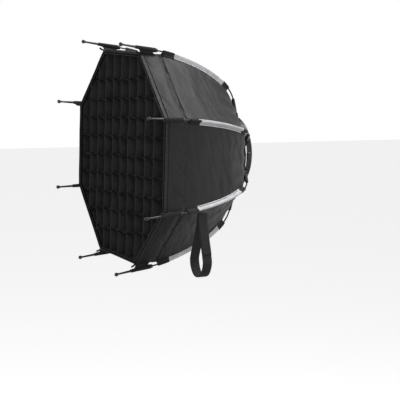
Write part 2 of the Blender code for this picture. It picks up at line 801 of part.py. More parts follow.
def build_strap(pivot_x, pivot_depth, pivot_z):
    """The webbing loop: one flat band whose ends are sewn together at the top."""
    path = strap_path()
    count = len(path)
    points = []
    for i, (x, z) in enumerate(path):
        ahead = Vector(path[(i + 1) % count])
        behind = Vector(path[i - 1])
        run = (ahead - behind).normalized()
        normal = Vector((-run.y, run.x)) * (STRAP_THICK / 2)
        for side in (-1, 1):
            for edge in (-1, 1):
                points.append((x + side * normal.x, edge * STRAP_WIDTH / 2, z + side * normal.y))
    faces = []
    for i in range(count):
        a, b = 4 * i, 4 * ((i + 1) % count)
        for near, far in ((0, 1), (1, 3), (3, 2), (2, 0)):
            faces.append((a + near, a + far, b + far, b + near))
    mesh = mesh_from("strap", points, faces)
    pivot = bpy.data.objects.new("strap_pivot", None)
    bpy.context.collection.objects.link(pivot)
    pivot.location = (pivot_x, station(pivot_depth), pivot_z)
    add_node("carry_strap", mesh, BLACK_FABRIC, pivot, smooth=False)


def main():
    clear_scene()
    build_hub()
    build_release()
    build_ribs()
    build_shell()
    build_grid()
    build_diffusers()
    build_strap(*STRAP_TOP)


main()
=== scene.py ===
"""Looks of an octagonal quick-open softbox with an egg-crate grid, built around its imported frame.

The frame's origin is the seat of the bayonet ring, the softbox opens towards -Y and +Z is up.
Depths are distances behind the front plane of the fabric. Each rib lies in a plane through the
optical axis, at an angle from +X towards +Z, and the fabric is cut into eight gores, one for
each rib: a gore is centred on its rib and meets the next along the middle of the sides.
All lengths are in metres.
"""

import math

import bmesh
import bpy
import numpy as np
from mathutils import Matrix, Vector, noise


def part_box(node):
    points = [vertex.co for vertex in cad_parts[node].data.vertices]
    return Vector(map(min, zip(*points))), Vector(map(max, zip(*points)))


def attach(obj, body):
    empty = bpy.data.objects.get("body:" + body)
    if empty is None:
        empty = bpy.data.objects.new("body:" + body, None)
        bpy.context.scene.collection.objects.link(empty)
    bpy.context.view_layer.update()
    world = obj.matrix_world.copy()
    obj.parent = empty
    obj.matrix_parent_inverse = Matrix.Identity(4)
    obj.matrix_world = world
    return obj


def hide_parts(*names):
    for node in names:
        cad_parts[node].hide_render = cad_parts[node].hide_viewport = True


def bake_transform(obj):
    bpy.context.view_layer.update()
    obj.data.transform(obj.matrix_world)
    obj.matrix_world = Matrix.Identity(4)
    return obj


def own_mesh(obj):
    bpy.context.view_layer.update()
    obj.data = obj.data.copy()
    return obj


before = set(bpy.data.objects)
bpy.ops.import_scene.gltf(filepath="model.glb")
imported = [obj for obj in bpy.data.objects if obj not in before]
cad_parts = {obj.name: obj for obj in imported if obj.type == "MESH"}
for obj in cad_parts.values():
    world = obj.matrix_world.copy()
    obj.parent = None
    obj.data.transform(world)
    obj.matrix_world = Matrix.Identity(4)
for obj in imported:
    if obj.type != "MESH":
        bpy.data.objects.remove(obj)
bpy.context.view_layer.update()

# The waver of the piping starts from this, and is the same in each run
noise.seed_set(1)

# The frame's own dimensions
SIDES = 8
HALF_STEP = math.pi / SIDES
SIDE_SLOPE = math.tan(HALF_STEP)
DEPTH = -sum(corner.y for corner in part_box("front_rim")) / 2 - 0.00015
CORNER_RADIUS = 0.225
FLANGE_DEPTH = 0.2431
FLANGE_INNER = 0.0585
FLANGE_OUTER = 0.0755
ROD_CURVE = ((0.125, 0.234), (0.181, 0.2075), (0.222, 0.0945), (0.231, 0.038))
ROD_RADIUS = 0.0015
TIP_END = (0.243, -0.042)
GRID_APOTHEM = 0.2038
GRID_PITCH = 0.0385
GRID_COUNT = 9
GRID_LEAN = 0.075
GRID_FRONT = 0.0015
GRID_REAR = 0.0385
DIFFUSER_DEPTH = 0.0425
DIFFUSER_APOTHEM = 0.2025
BAFFLE_DEPTH = 0.130
BAFFLE_RADIUS = 0.172
THROAT = (0.090, 0.2405)
ROOT_SOCKET = (0.079, 0.2515)
ROD_IN_ROOT = 0.019
ROD_IN_TIP = 0.009
SPRING_WIRE = 0.0004
SPRING_TURNS = 4

# Fabric detail
SHELL_THICK = 0.0006
SHELL_BOW = 0.0045
SEAM_LINE = 0.0435
GROOVE = 0.0021
LIP = 0.0014
BROAD = 0.0022
PUCKER = 0.00045
FOLD = 0.0013
HEM = 0.0090
STITCH_ROW = 0.0042
TAPE_THICK = 0.0004
GRID_THICK = 0.0011
GRID_BORDER_THICK = 0.0012
GRID_STEP = 0.0032
GRID_DOWN = (0.0, 0.04, 0.16, 0.34, 0.55, 0.78, 1.0)
GRID_WAVER = 0.0048
GRID_BULGE = 0.0030
GRID_BUCKLE = 0.0075
DIFFUSION_THICK = 0.0004
BAFFLE_TRIM_THICK = 0.0008
BINDING_SEAT = 0.0002
BINDING_EDGE = 0.0052
BINDING_SEAM = 0.0041
TIP_BALL = 0.0039
WEB_REAR = (0.2240, 0.0330)
TAPE_FOLD = math.radians(50)
ROUND_EDGE = math.radians(55)

# Stage and camera
CENTRE = (0.0, -0.13, 0.0)
FLOOR_HALF = 14.0
FLOOR_DROP = 1.55
CAMERA_SPOT = (2.2309, -1.27532, 0.26848)
CAMERA_AZIMUTH = math.radians(61.8755)
CAMERA_ELEVATION = math.radians(8.2778)
CAMERA_ROLL = math.radians(1.6534)
FOCAL_LENGTH = 109.30
SENSOR_WIDTH = 36.0


# ---------------------------------------------------------------- places and meshes

def rib_angle(index):
    """The angle of a rib about the optical axis, from +X towards +Z. Rib names count from 1."""
    return HALF_STEP + 2 * HALF_STEP * index


def place(turn, radius, depth, around=0.0):
    """A point in the plane of a rib, or beside it by a distance around the axis."""
    return Vector((
        radius * math.cos(turn) - around * math.sin(turn),
        depth - DEPTH,
        radius * math.sin(turn) + around * math.cos(turn),
    ))


def smooth_step(x):
    x = np.clip(x, 0.0, 1.0)
    return x * x * (3 - 2 * x)


def lattice(rows, columns, closed=False):
    """The quads of a grid of points that is stored row by row, closed round its columns or not."""
    faces = []
    for row in range(rows - 1):
        for column in range(columns if closed else columns - 1):
            here, beside = row * columns + column, row * columns + (column + 1) % columns
            faces.append((here, beside, beside + columns, here + columns))
    return faces


def capped(rows, sides):
    """The faces of a closed section carried along a path, with a cap at either end."""
    last = rows * sides - 1
    return lattice(rows, sides, True) + [tuple(range(sides)), tuple(range(last, last - sides, -1))]


def add_piece(name, shape, *materials, outward=True):
    """A mesh object of a (points, faces, uv) shape; uv is None or one (u, v) for each point."""
    points, faces, uv = shape
    mesh = bpy.data.meshes.new(name)
    mesh.from_pydata([tuple(p) for p in points], [], faces)
    if uv is not None:
        layer = mesh.uv_layers.new(name="cut")
        index = np.zeros(len(mesh.loops), np.int32)
        mesh.loops.foreach_get("vertex_index", index)
        layer.data.foreach_set("uv", np.asarray(uv, np.float32)[index].reshape(-1))
    if outward:
        form = bmesh.new()
        form.from_mesh(mesh)
        bmesh.ops.recalc_face_normals(form, faces=form.faces)
        form.to_mesh(mesh)
        form.free()
    for material in materials:
        mesh.materials.append(material)
    mesh.shade_smooth()
    obj = bpy.data.objects.new(name, mesh)
    bpy.context.scene.collection.objects.link(obj)
    return obj


def thicken(obj, thickness, offset=-1.0, rim=True, lining=0):
    """Give an open sheet its thickness, and its lining's material on the inside if it has one."""
    solid = obj.modifiers.new("thickness", "SOLIDIFY")
    solid.thickness = thickness
    solid.offset = offset
    solid.use_rim = rim
    solid.material_offset = lining


def merged(groups):
    """Several (points, faces, uv) groups as one."""
    points, faces, uv = [], [], []
    for more_points, more_faces, more_uv in groups:
        start = len(points)
        points.extend(more_points)
        faces.extend(tuple(start + i for i in face) for face in more_faces)
        uv.extend(more_uv)
    return points, faces, uv


def tube(path, radius, sides=10, across=None):
    """A round, capped tube along a path, as (points, faces, uv). A radius may change along it."""
    path = [Vector(p) for p in path]
    radii = radius if hasattr(radius, "__len__") else [radius] * len(path)
    side = across
    points, uv = [], []
    run = 0.0
    for i, centre in enumerate(path):
        ahead, behind = path[min(i + 1, len(path) - 1)], path[max(i - 1, 0)]
        along = (ahead - behind).normalized()
        if side is None:
            side = along.orthogonal()
        side = (side - along * side.dot(along)).normalized()
        other = along.cross(side)
        run += (centre - path[i - 1]).length if i else 0.0
        for k in range(sides):
            turn = 2 * math.pi * k / sides
            points.append(centre + (side * math.cos(turn) + other * math.sin(turn)) * radii[i])
            uv.append((run, radii[i] * turn))
    return points, capped(len(path), sides), uv


def turned(profile, centre, along, sides=24):
    """A body turned about a line from (radius, distance along it) points, closed at both ends."""
    along = Vector(along).normalized()
    side = along.orthogonal().normalized()
    other = along.cross(side)
    points, uv = [], []
    for radius, distance in profile:
        for k in range(sides):
            turn = 2 * math.pi * k / sides
            spoke = side * math.cos(turn) + other * math.sin(turn)
            points.append(Vector(centre) + along * distance + spoke * max(radius, 1e-5))
            uv.append((distance, radius * turn))
    return points, capped(len(profile), sides), uv


# ---------------------------------------------------------------- following the ribs


def follow_rib(obj):
    """Bake a piece's placement into its mesh and read its points; it is not moved towards the rib.
    """
    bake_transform(obj)
    points = np.zeros(len(obj.data.vertices) * 3)
    obj.data.vertices.foreach_get("co", points)
    return obj


APOTHEM = CORNER_RADIUS * math.cos(HALF_STEP)


def follow_shell(obj):
    """The outer cloth's placement baked into its mesh, as follow_rib does."""
    return follow_rib(obj)


def follow_inside(obj):
    """A flat cloth's placement baked into its mesh, as follow_rib does."""
    return follow_rib(obj)


# ---------------------------------------------------------------- the rod and the fabric's seam

def rod_point(t):
    """The rod's centreline as (radius, depth), from the root sleeve to the tip sleeve."""
    s = 1 - t
    weights = (s ** 3, 3 * s * s * t, 3 * s * t * t, t ** 3)
    return Vector(tuple(sum(w * p[k] for w, p in zip(weights, ROD_CURVE)) for k in (0, 1)))


def rod_outward(t):
    """The unit direction away from the fabric, square to the rod, as (radius, depth)."""
    run = (rod_point(t + 1e-3) - rod_point(t - 1e-3)).normalized()
    return Vector((-run.y, run.x))


def seam_gap(t):
    """How far the fabric's corner seam lies inside the rod's centreline."""
    return 0.0034 + 0.0036 * (1 - t) ** 4 + 0.0040 * t ** 10


def rod_share(depth):
    """Where along the rod a depth lies."""
    low, high = 0.0, 1.0
    for _ in range(40):
        middle = (low + high) / 2
        if rod_point(middle).y > depth:
            low = middle
        else:
            high = middle
    return low


def seam_profile():
    """The seam at a corner as (radius, depth) points, close together, from the hub forwards."""
    first = rod_point(0) - rod_outward(0) * seam_gap(0)
    inner, outer = Vector((FLANGE_INNER, FLANGE_DEPTH)), Vector((FLANGE_OUTER, FLANGE_DEPTH))
    points = [inner.lerp(outer, i / 6) for i in range(6)]
    for i in range(13):
        share = i / 12
        near = outer.lerp(Vector(THROAT), share)
        far = Vector(THROAT).lerp(first, share)
        points.append(near.lerp(far, share))
    points += [rod_point(i / 60) - rod_outward(i / 60) * seam_gap(i / 60) for i in range(1, 61)]
    front = Vector((CORNER_RADIUS, 0.0014))
    last = points[-1]
    points += [last.lerp(front, (i + 1) / 10) for i in range(10)]
    return np.array([tuple(p) for p in points])


PROFILE = seam_profile()
PROFILE_RUN = np.concatenate([[0], np.cumsum(np.linalg.norm(np.diff(PROFILE, axis=0), axis=1))])
PROFILE_LENGTH = float(PROFILE_RUN[-1])


# ---------------------------------------------------------------- materials

class Finish:
    """A Principled material whose maps are made of nodes."""

    def __init__(self, name, roughness, metallic=0.0, **constants):
        self.material = bpy.data.materials.new(name)
        self.material.use_nodes = True
        self.tree = self.material.node_tree
        self.shader = self.tree.nodes["Principled BSDF"]
        self.shader.inputs["Roughness"].default_value = roughness
        self.shader.inputs["Metallic"].default_value = metallic
        for socket, value in constants.items():
            self.shader.inputs[socket.replace("_", " ")].default_value = value
        self.normal = None

    def node(self, kind, inputs=None, **settings):
        """A node with its settings and with values or sockets put on its inputs."""
        made = self.tree.nodes.new(kind)
        for key, value in settings.items():
            setattr(made, key, value)
        for key, value in (inputs or {}).items():
            if isinstance(value, bpy.types.NodeSocket):
                self.tree.links.new(value, made.inputs[key])
            else:
                made.inputs[key].default_value = value
        return made

    def coordinates(self, kind, scale=(1, 1, 1), turn=0.0):
        """Metres over the surface ("UV") or in space ("Object"), stretched and turned."""
        source = self.node("ShaderNodeTexCoord").outputs[kind]
        rotation = (0, 0, math.radians(turn))
        mapped = self.node("ShaderNodeMapping", {"Vector": source, "Rotation": rotation, "Scale": scale})
        return mapped.outputs["Vector"]

    def cloud(self, where, scale, detail=3.0, roughness=0.55):
        inputs = {"Vector": where, "Scale": scale, "Detail": detail, "Roughness": roughness}
        return self.node("ShaderNodeTexNoise", inputs).outputs["Fac"]

    def stripes(self, where, pitch, distortion=0.0, direction="X", profile="SIN"):
        """Bands that repeat every pitch metres."""
        inputs = {
            "Vector": where, "Scale": 2 * math.pi / pitch / 20, "Distortion": distortion,
            "Detail": 1.0, "Detail Scale": 1.5,
        }
        wave = self.node(
            "ShaderNodeTexWave", inputs, wave_type="BANDS", bands_direction=direction,
            wave_profile=profile,
        )
        return wave.outputs["Fac"]

    def maths(self, operation, first, second=0.5, clamp=False):
        made = self.node("ShaderNodeMath", {0: first, 1: second}, operation=operation)
        made.use_clamp = clamp
        return made.outputs[0]

    def span(self, value, low, high, to_low=0.0, to_high=1.0):
        inputs = {"Value": value, "From Min": low, "From Max": high, "To Min": to_low, "To Max": to_high}
        return self.node("ShaderNodeMapRange", inputs).outputs["Result"]

    def mix(self, share, first, second):
        """A colour between two colours, each (r, g, b) or a socket."""
        made = self.node("ShaderNodeMix", data_type="RGBA")
        for socket, value in ((0, share), (6, first), (7, second)):
            if isinstance(value, bpy.types.NodeSocket):
                self.tree.links.new(value, made.inputs[socket])
            elif socket == 0:
                made.inputs[0].default_value = value
            else:
                made.inputs[socket].default_value = (*value, 1.0)
        return made.outputs[2]

    def colour(self, value):
        self.tree.links.new(value, self.shader.inputs["Base Color"])

    def roughness(self, value):
        self.tree.links.new(value, self.shader.inputs["Roughness"])

    def bump(self, height, distance):
        """Add relief of this many metres over what there is already."""
        inputs = {"Height": height, "Distance": distance, "Strength": 1.0}
        if self.normal is not None:
            inputs["Normal"] = self.normal
        self.normal = self.node("ShaderNodeBump", inputs).outputs["Normal"]
        self.tree.links.new(self.normal, self.shader.inputs["Normal"])


def nylon():
    """Black coated nylon: a fine plain weave, soft mottling and greyed, worn seams."""
    made = Finish(
        "black_nylon", 0.50, Specular_IOR_Level=0.30, Sheen_Weight=0.03, Sheen_Roughness=0.40
    )
    made.shader.inputs["Sheen Tint"].default_value = (0.75, 0.78, 0.85, 1)
    cut = made.coordinates("UV")
    warp = made.stripes(cut, 0.0011, 0.6, "X")
    weft = made.stripes(cut, 0.0009, 0.6, "Y")
    weave = made.maths("MAXIMUM", warp, weft)
    slub = made.cloud(made.coordinates("UV", (90, 900, 1)), 1.0, 2.0)
    mottle = made.cloud(made.coordinates("Object"), 28.0, 5.0, 0.6)
    wear = made.node("ShaderNodeAttribute", attribute_name="wear").outputs["Fac"]
    dark, pale = (0.0058, 0.0058, 0.0066), (0.0115, 0.0115, 0.0128)
    cloth = made.mix(made.span(mottle, 0.35, 0.68), dark, pale)
    cloth = made.mix(made.span(made.maths("MULTIPLY", weave, slub), 0.2, 0.7, 0.0, 0.45), cloth, pale)
    rubbed = made.maths("MULTIPLY", wear, made.span(made.cloud(cut, 260.0, 4.0), 0.42, 0.62), True)
    cloth = made.mix(made.maths("MULTIPLY", rubbed, 0.55), cloth, (0.060, 0.060, 0.064))
    made.colour(cloth)
    made.roughness(made.span(mottle, 0.3, 0.7, 0.46, 0.58))
    made.bump(weave, 0.00010)
    made.bump(slub, 0.00012)
    made.bump(made.cloud(made.coordinates("UV", (1, 1, 1)), 150.0, 3.0), 0.00035)
    return made.material


def silver_lining():
    """The reflective inside of the fabric: silver coating with a pressed diamond pattern."""
    made = Finish("silver_lining", 0.38, 0.85)
    cut = made.coordinates("UV", turn=45)
    press = made.maths("MULTIPLY", made.stripes(cut, 0.004, 0.0, "X"), made.stripes(cut, 0.004, 0.0, "Y"))
    crumple = made.cloud(made.coordinates("Object"), 60.0, 5.0)
    made.colour(made.mix(made.span(crumple, 0.3, 0.7), (0.62, 0.62, 0.63), (0.80, 0.80, 0.81)))
    made.roughness(made.span(crumple, 0.3, 0.7, 0.30, 0.48))
    made.bump(press, 0.00015)
    made.bump(crumple, 0.0006)
    return made.material


def grid_cloth():
    """The matt black strip cloth of the grid, with a brushed face."""
    made = Finish("grid_cloth", 0.85, Specular_IOR_Level=0.12, Sheen_Weight=0.04, Sheen_Roughness=0.55)
    cut = made.coordinates("UV")
    fibre = made.cloud(made.coordinates("UV", (260, 1600, 1)), 1.0, 3.0)
    patch = made.cloud(made.coordinates("Object"), 22.0, 3.0)
    weave = made.maths("MAXIMUM", made.stripes(cut, 0.0010, 0.8, "X"), made.stripes(cut, 0.0010, 0.8, "Y"))
    cloth = made.mix(made.span(patch, 0.35, 0.65), (0.0200, 0.0200, 0.0205), (0.0310, 0.0300, 0.0295))
    made.colour(made.mix(made.span(fibre, 0.4, 0.7, 0.0, 0.6), cloth, (0.040, 0.039, 0.039)))
    made.roughness(made.span(fibre, 0.3, 0.7, 0.78, 0.92))
    made.bump(weave, 0.00012)
    made.bump(fibre, 0.00010)
    return made.material


def twill():
    """The grey reflective binding: a diagonal twill with a lengthwise rib and scuffed high spots."""
    made = Finish("grey_twill", 0.42, Specular_IOR_Level=0.6, Sheen_Weight=0.15, Sheen_Roughness=0.4)
    diagonal = made.stripes(made.coordinates("UV", turn=38), 0.0013, 0.4, "X")
    rib = made.stripes(made.coordinates("UV"), 0.0021, 0.2, "Y")
    soil = made.cloud(made.coordinates("Object"), 45.0, 5.0, 0.6)
    base = made.mix(made.span(soil, 0.32, 0.7), (0.36, 0.36, 0.37), (0.52, 0.52, 0.535))
    base = made.mix(made.span(diagonal, 0.1, 0.9, 0.0, 0.28), base, (0.30, 0.30, 0.31))
    made.colour(made.mix(made.span(rib, 0.0, 0.35, 0.35, 0.0), base, (0.25, 0.25, 0.26)))
    made.roughness(made.span(soil, 0.3, 0.7, 0.36, 0.52))
    made.bump(diagonal, 0.00010)
    made.bump(rib, 0.00018)
    return made.material


def reflective_edge():
    """The bright, smooth edge of the grey binding."""
    made = Finish("pale_edge", 0.35, Specular_IOR_Level=0.6)
    cord = made.stripes(made.coordinates("UV"), 0.0012, 0.3, "X")
    soil = made.cloud(made.coordinates("Object"), 60.0, 4.0)
    base = made.mix(made.span(soil, 0.3, 0.7), (0.62, 0.62, 0.63), (0.78, 0.78, 0.79))
    made.colour(made.mix(made.span(cord, 0.0, 0.5, 0.4, 0.0), base, (0.45, 0.45, 0.46)))
    made.bump(cord, 0.00012)
    return made.material


def webbing(name="black_webbing", dark=(0.007, 0.007, 0.0075), pale=(0.021, 0.021, 0.0225)):
    """Black nylon webbing: lengthwise ribs crossed by fine picks."""
    made = Finish(name, 0.66, Specular_IOR_Level=0.25, Sheen_Weight=0.04, Sheen_Roughness=0.5)
    cut = made.coordinates("UV")
    rib = made.stripes(cut, 0.0024, 0.15, "Y")
    pick = made.stripes(cut, 0.0011, 0.5, "X")
    fuzz = made.cloud(made.coordinates("UV", (500, 900, 1)), 1.0, 3.0)
    body = made.maths("MULTIPLY", made.span(rib, 0.0, 1.0, 0.35, 1.0), made.span(pick, 0.0, 1.0, 0.5, 1.0))
    made.colour(made.mix(made.maths("MULTIPLY", body, made.span(fuzz, 0.2, 0.8, 0.6, 1.2)), dark, pale))
    made.roughness(made.span(fuzz, 0.3, 0.7, 0.62, 0.80))
    made.bump(rib, 0.00035)
    made.bump(pick, 0.00014)
    return made.material


def tape():
    """Matt black loop tape, with a dense short pile."""
    made = Finish("black_tape", 0.95, Specular_IOR_Level=0.05)
    pile = made.cloud(made.coordinates("Object"), 1400.0, 2.0)
    patch = made.cloud(made.coordinates("Object"), 40.0, 3.0)
    base = made.mix(made.span(patch, 0.35, 0.65), (0.0030, 0.0030, 0.0034), (0.0065, 0.0065, 0.0070))
    made.colour(made.mix(made.span(pile, 0.45, 0.7), base, (0.014, 0.014, 0.015)))
    made.bump(pile, 0.00025)
    return made.material


def thread():
    """Bonded sewing thread with a twist."""
    made = Finish("black_thread", 0.45, Specular_IOR_Level=0.35)
    twist = made.stripes(made.coordinates("Object", (1, 1, 1), 30), 0.0007, 0.0, "X")
    made.colour(made.mix(twist, (0.012, 0.012, 0.013), (0.034, 0.034, 0.037)))
    made.bump(twist, 0.00008)
    return made.material


def moulded(name, dark, pale, roughness, relief, scale=2600.0):
    """Moulded plastic: a fine spark-eroded grain, handling polish and faint flow marks."""
    made = Finish(name, roughness, Specular_IOR_Level=0.5)
    where = made.coordinates("Object")
    grain = made.cloud(where, scale, 2.0)
    flow = made.cloud(where, 35.0, 4.0)
    made.colour(made.mix(made.span(flow, 0.35, 0.65), dark, pale))
    made.roughness(made.span(flow, 0.3, 0.7, roughness - 0.07, roughness + 0.09))
    made.bump(grain, relief)
    return made.material


def metal(name, dark, pale, roughness, along="X"):
    """Machined or drawn metal, with tool lines one way and softer tarnish."""
    made = Finish(name, roughness, 1.0)
    stretch = {"X": (1500, 60, 60), "Y": (60, 1500, 60), "Z": (60, 60, 1500)}[along]
    lines = made.cloud(made.coordinates("Object", stretch), 1.0, 2.0)
    tarnish = made.cloud(made.coordinates("Object"), 70.0, 5.0)
    made.colour(made.mix(made.span(tarnish, 0.3, 0.7), dark, pale))
    worked = made.maths("MULTIPLY", lines, tarnish)
    made.roughness(made.span(worked, 0.1, 0.45, roughness - 0.06, roughness + 0.16))
    made.bump(lines, 0.00002)
    return made.material


def diffusion():
    """White diffusion nylon with a ripstop check."""
    made = Finish("white_diffusion", 0.62, Sheen_Weight=0.25, Sheen_Roughness=0.5)
    cut = made.coordinates("Object")
    rows = made.stripes(cut, 0.005, 0.1, "X", "SAW")
    columns = made.stripes(cut, 0.005, 0.1, "Z", "SAW")
    check = made.maths("MAXIMUM", made.span(rows, 0.86, 0.97), made.span(columns, 0.86, 0.97))
    veil = made.cloud(cut, 30.0, 4.0)
    cloth = made.mix(made.span(veil, 0.3, 0.7), (0.78, 0.78, 0.77), (0.86, 0.86, 0.85))
    made.colour(made.mix(made.maths("MULTIPLY", check, 0.35), cloth, (0.62, 0.62, 0.62)))
    made.roughness(made.span(veil, 0.3, 0.7, 0.55, 0.70))
    made.bump(check, 0.00010)
    made.bump(veil, 0.0006)
    return made.material


NYLON = nylon()
LINING = silver_lining()
GRID_CLOTH = grid_cloth()
TWILL = twill()
WEBBING = webbing()
PIPING = webbing("black_piping", (0.004, 0.004, 0.0045), (0.012, 0.012, 0.013))
TAPE = tape()
THREAD = thread()
PALE_THREAD = reflective_edge()
HUB_PLASTIC = moulded(
    "hub_plastic_moulded", (0.0080, 0.0080, 0.0088), (0.0150, 0.0150, 0.0162), 0.42, 0.00006
)
TIP_RUBBER = moulded(
    "tip_plastic_moulded", (0.0090, 0.0090, 0.0096), (0.0180, 0.0180, 0.0192), 0.34, 0.00003, 1800.0
)
SPRUNG_STEEL = metal("blackened_rod", (0.020, 0.020, 0.022), (0.055, 0.055, 0.060), 0.36, "Y")
BRIGHT_STEEL = metal("bright_steel_drawn", (0.52, 0.52, 0.53), (0.74, 0.74, 0.75), 0.24, "Z")
LOCK_ALLOY = metal("lock_alloy_turned", (0.30, 0.30, 0.31), (0.44, 0.44, 0.45), 0.34, "Z")
BAYONET_ALLOY = metal("bayonet_alloy_turned", (0.40, 0.40, 0.41), (0.60, 0.60, 0.61), 0.33, "Y")
DIFFUSION = diffusion()


# ---------------------------------------------------------------- fabric shell

def column_sides():
    """Where the columns of a side panel lie, from rib to rib, close together by the ribs and mid-line."""
    near = [0.0, 0.004, 0.010, 0.018, 0.028, 0.040]
    half = near + [0.055 + (0.494 - 0.055) * i / 20 for i in range(21)] + [0.498]
    return np.array(half + [0.5] + [1 - side for side in reversed(half)])


def row_runs():
    """Where the rows lie, as distances along the seam from the hub, closer at the sewn groove."""
    spaced = list(np.linspace(0, PROFILE_LENGTH, 84))
    groove = [PROFILE_LENGTH - SEAM_LINE + 0.0016 * i for i in range(-5, 6)]
    hem = [PROFILE_LENGTH - HEM + 0.0007 * i for i in (-2, -1, 0, 1)]
    return np.array(sorted(set(spaced + groove + hem)))


SIDE_STOPS = column_sides()
RUN_STOPS = row_runs()
MIDDLE = len(SIDE_STOPS) // 2


def wrinkle(panel, from_front, across, seam, side):
    """How far the cloth stands out at a point, from its folds, puckers and sewn lines."""
    seed = 13.0 * panel
    free = smooth_step(seam / 0.016)
    height = -GROOVE * math.exp(-((from_front - SEAM_LINE) / 0.0030) ** 2) * smooth_step(seam / 0.006)
    if from_front < SEAM_LINE:
        height += LIP * math.sin(math.pi * from_front / SEAM_LINE) * free
    if from_front < HEM:
        height += 0.0005 * smooth_step(seam / 0.004)
    slack = smooth_step((PROFILE_LENGTH - 0.035 - from_front) / 0.05) * smooth_step(from_front / 0.02)
    broad = noise.noise(Vector((from_front * 21, across * 5 + seed, 0.3 * panel)))
    broad += 0.5 * noise.noise(Vector((from_front * 48, across * 17 + seed, 4.2)))
    height += BROAD * broad * free * slack
    slanted = Vector(((from_front + 0.35 * across) * 34, (across - 0.2 * from_front) * 9 + seed, 9.1))
    crease = noise.noise(slanted)
    height -= 0.0010 * max(0.0, 1 - abs(crease) * 9) * free * slack
    rear = smooth_step((from_front - 0.10) / 0.10)
    height += FOLD * math.sin(2 * math.pi * (3.5 * side + 0.21 * panel)) * rear * free * slack
    phase = 5 * noise.noise(Vector((from_front * 30, seed, side * 2)))
    size = 0.5 + noise.noise(Vector((from_front * 25, seed, 7.7 + side)))
    puckered = math.exp(-seam / 0.008) * smooth_step(seam / 0.0055)
    height += PUCKER * 2.2 * size * puckered * math.sin(2 * math.pi * from_front / 0.0125 + phase)
    along = math.exp(-abs(from_front - SEAM_LINE) / 0.006)
    phase = 5 * noise.noise(Vector((across * 30, seed, 3.1)))
    height += PUCKER * along * free * math.sin(2 * math.pi * across / 0.0135 + phase)
    return height


def panel_surface(panel):
    """A side panel's outer surface: its points, flat lengths and wear, as grids from rib to rib."""
    radius = np.interp(RUN_STOPS, PROFILE_RUN, PROFILE[:, 0])[:, None]
    depth = np.interp(RUN_STOPS, PROFILE_RUN, PROFILE[:, 1])[:, None]
    side = SIDE_STOPS[None, :]
    share = RUN_STOPS[:, None] / PROFILE_LENGTH
    bow = SHELL_BOW * np.sin(math.pi * share) ** 2 * 4 * side * (1 - side)
    out = radius * math.cos(HALF_STEP) - bow
    across = (side - 0.5) * 2 * radius * math.sin(HALF_STEP)
    middle = rib_angle(panel) + HALF_STEP
    x = out * math.cos(middle) - across * math.sin(middle)
    z = out * math.sin(middle) + across * math.cos(middle)
    y = np.broadcast_to(depth - DEPTH, x.shape)
    flat = np.stack([x, y, z], axis=-1)
    down = np.gradient(flat, axis=0)
    beside = np.gradient(flat, axis=1)
    normal = np.cross(beside, down)
    normal /= np.linalg.norm(normal, axis=-1, keepdims=True)
    outward = np.array([math.cos(middle), 0, math.sin(middle)])
    normal *= np.sign((normal * outward).sum(-1, keepdims=True) + 1e-9)
    from_front = PROFILE_LENGTH - RUN_STOPS
    seam = np.minimum(side, 1 - side) * 2 * radius * math.sin(HALF_STEP)
    height = np.array([
        [
            wrinkle(panel, from_front[i], across[i, j], seam[i, j], SIDE_STOPS[j])
            for j in range(len(SIDE_STOPS))
        ]
        for i in range(len(RUN_STOPS))
    ])
    wear = np.exp(-seam / 0.006) * 0.6 + np.exp(-from_front[:, None] / 0.004)
    wear += 0.8 * np.exp(-np.abs(from_front[:, None] - SEAM_LINE) / 0.003)
    return flat, flat + normal * height[..., None], across, wear


def stitches(path, outward, pitch=0.0042, length=0.0028, radius=0.00030):
    """A line of thread stitches that lie on a surface along a path, as (points, faces, uv)."""
    path = np.asarray([tuple(p) for p in path])
    outward = np.asarray([tuple(p) for p in outward])
    run = np.concatenate([[0], np.cumsum(np.linalg.norm(np.diff(path, axis=0), axis=1))])
    groups = []
    start = pitch / 2
    while start + length < run[-1]:
        stops = (start, start + length * 0.25, start + length * 0.75, start + length)
        rise = (-0.00010, 0.00028, 0.00028, -0.00010)
        centres = []
        for stop, lift in zip(stops, rise):
            point = [np.interp(stop, run, path[:, k]) for k in range(3)]
            normal = Vector([np.interp(stop, run, outward[:, k]) for k in range(3)]).normalized()
            centres.append(Vector(point) + normal * lift)
        groups.append(tube(centres, [radius * 0.7, radius, radius, radius * 0.7], 5))
        start += pitch
    return merged(groups)


def joined(before, after):
    """A gore's grid: the far half of the panel before its rib and the near half of the one after."""
    return np.concatenate([before[:, MIDDLE:], after[:, 1:MIDDLE + 1]], axis=1)


def build_shell():
    """The eight gores of the outer cloth, with their silver lining and their seams' stitching."""
    surfaces = [panel_surface(panel) for panel in range(SIDES)]
    rows = len(RUN_STOPS)
    for index in range(SIDES):
        before, after = surfaces[index - 1], surfaces[index]
        half = np.abs(before[2][:, -1:])
        points = joined(before[1], after[1])
        across = joined(before[2] - half, after[2] + half)
        wear = joined(before[3], after[3])
        run = np.broadcast_to(RUN_STOPS[:, None], across.shape)
        uv = np.stack([run, across], axis=-1).reshape(-1, 2)
        shape = points.reshape(-1, 3), lattice(rows, points.shape[1]), uv
        gore = add_piece(f"canopy_gore_{index + 1}", shape, NYLON, LINING, outward=False)
        turn_out(gore, rib_angle(index))
        attribute = gore.data.attributes.new("wear", "FLOAT", "POINT")
        attribute.data.foreach_set("value", wear.reshape(-1).astype(np.float32))
        follow_shell(gore)
        thicken(gore, SHELL_THICK, rim=False, lining=1)
        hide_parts(f"side_panel_{index + 1}")
        sew_gore(index, points)


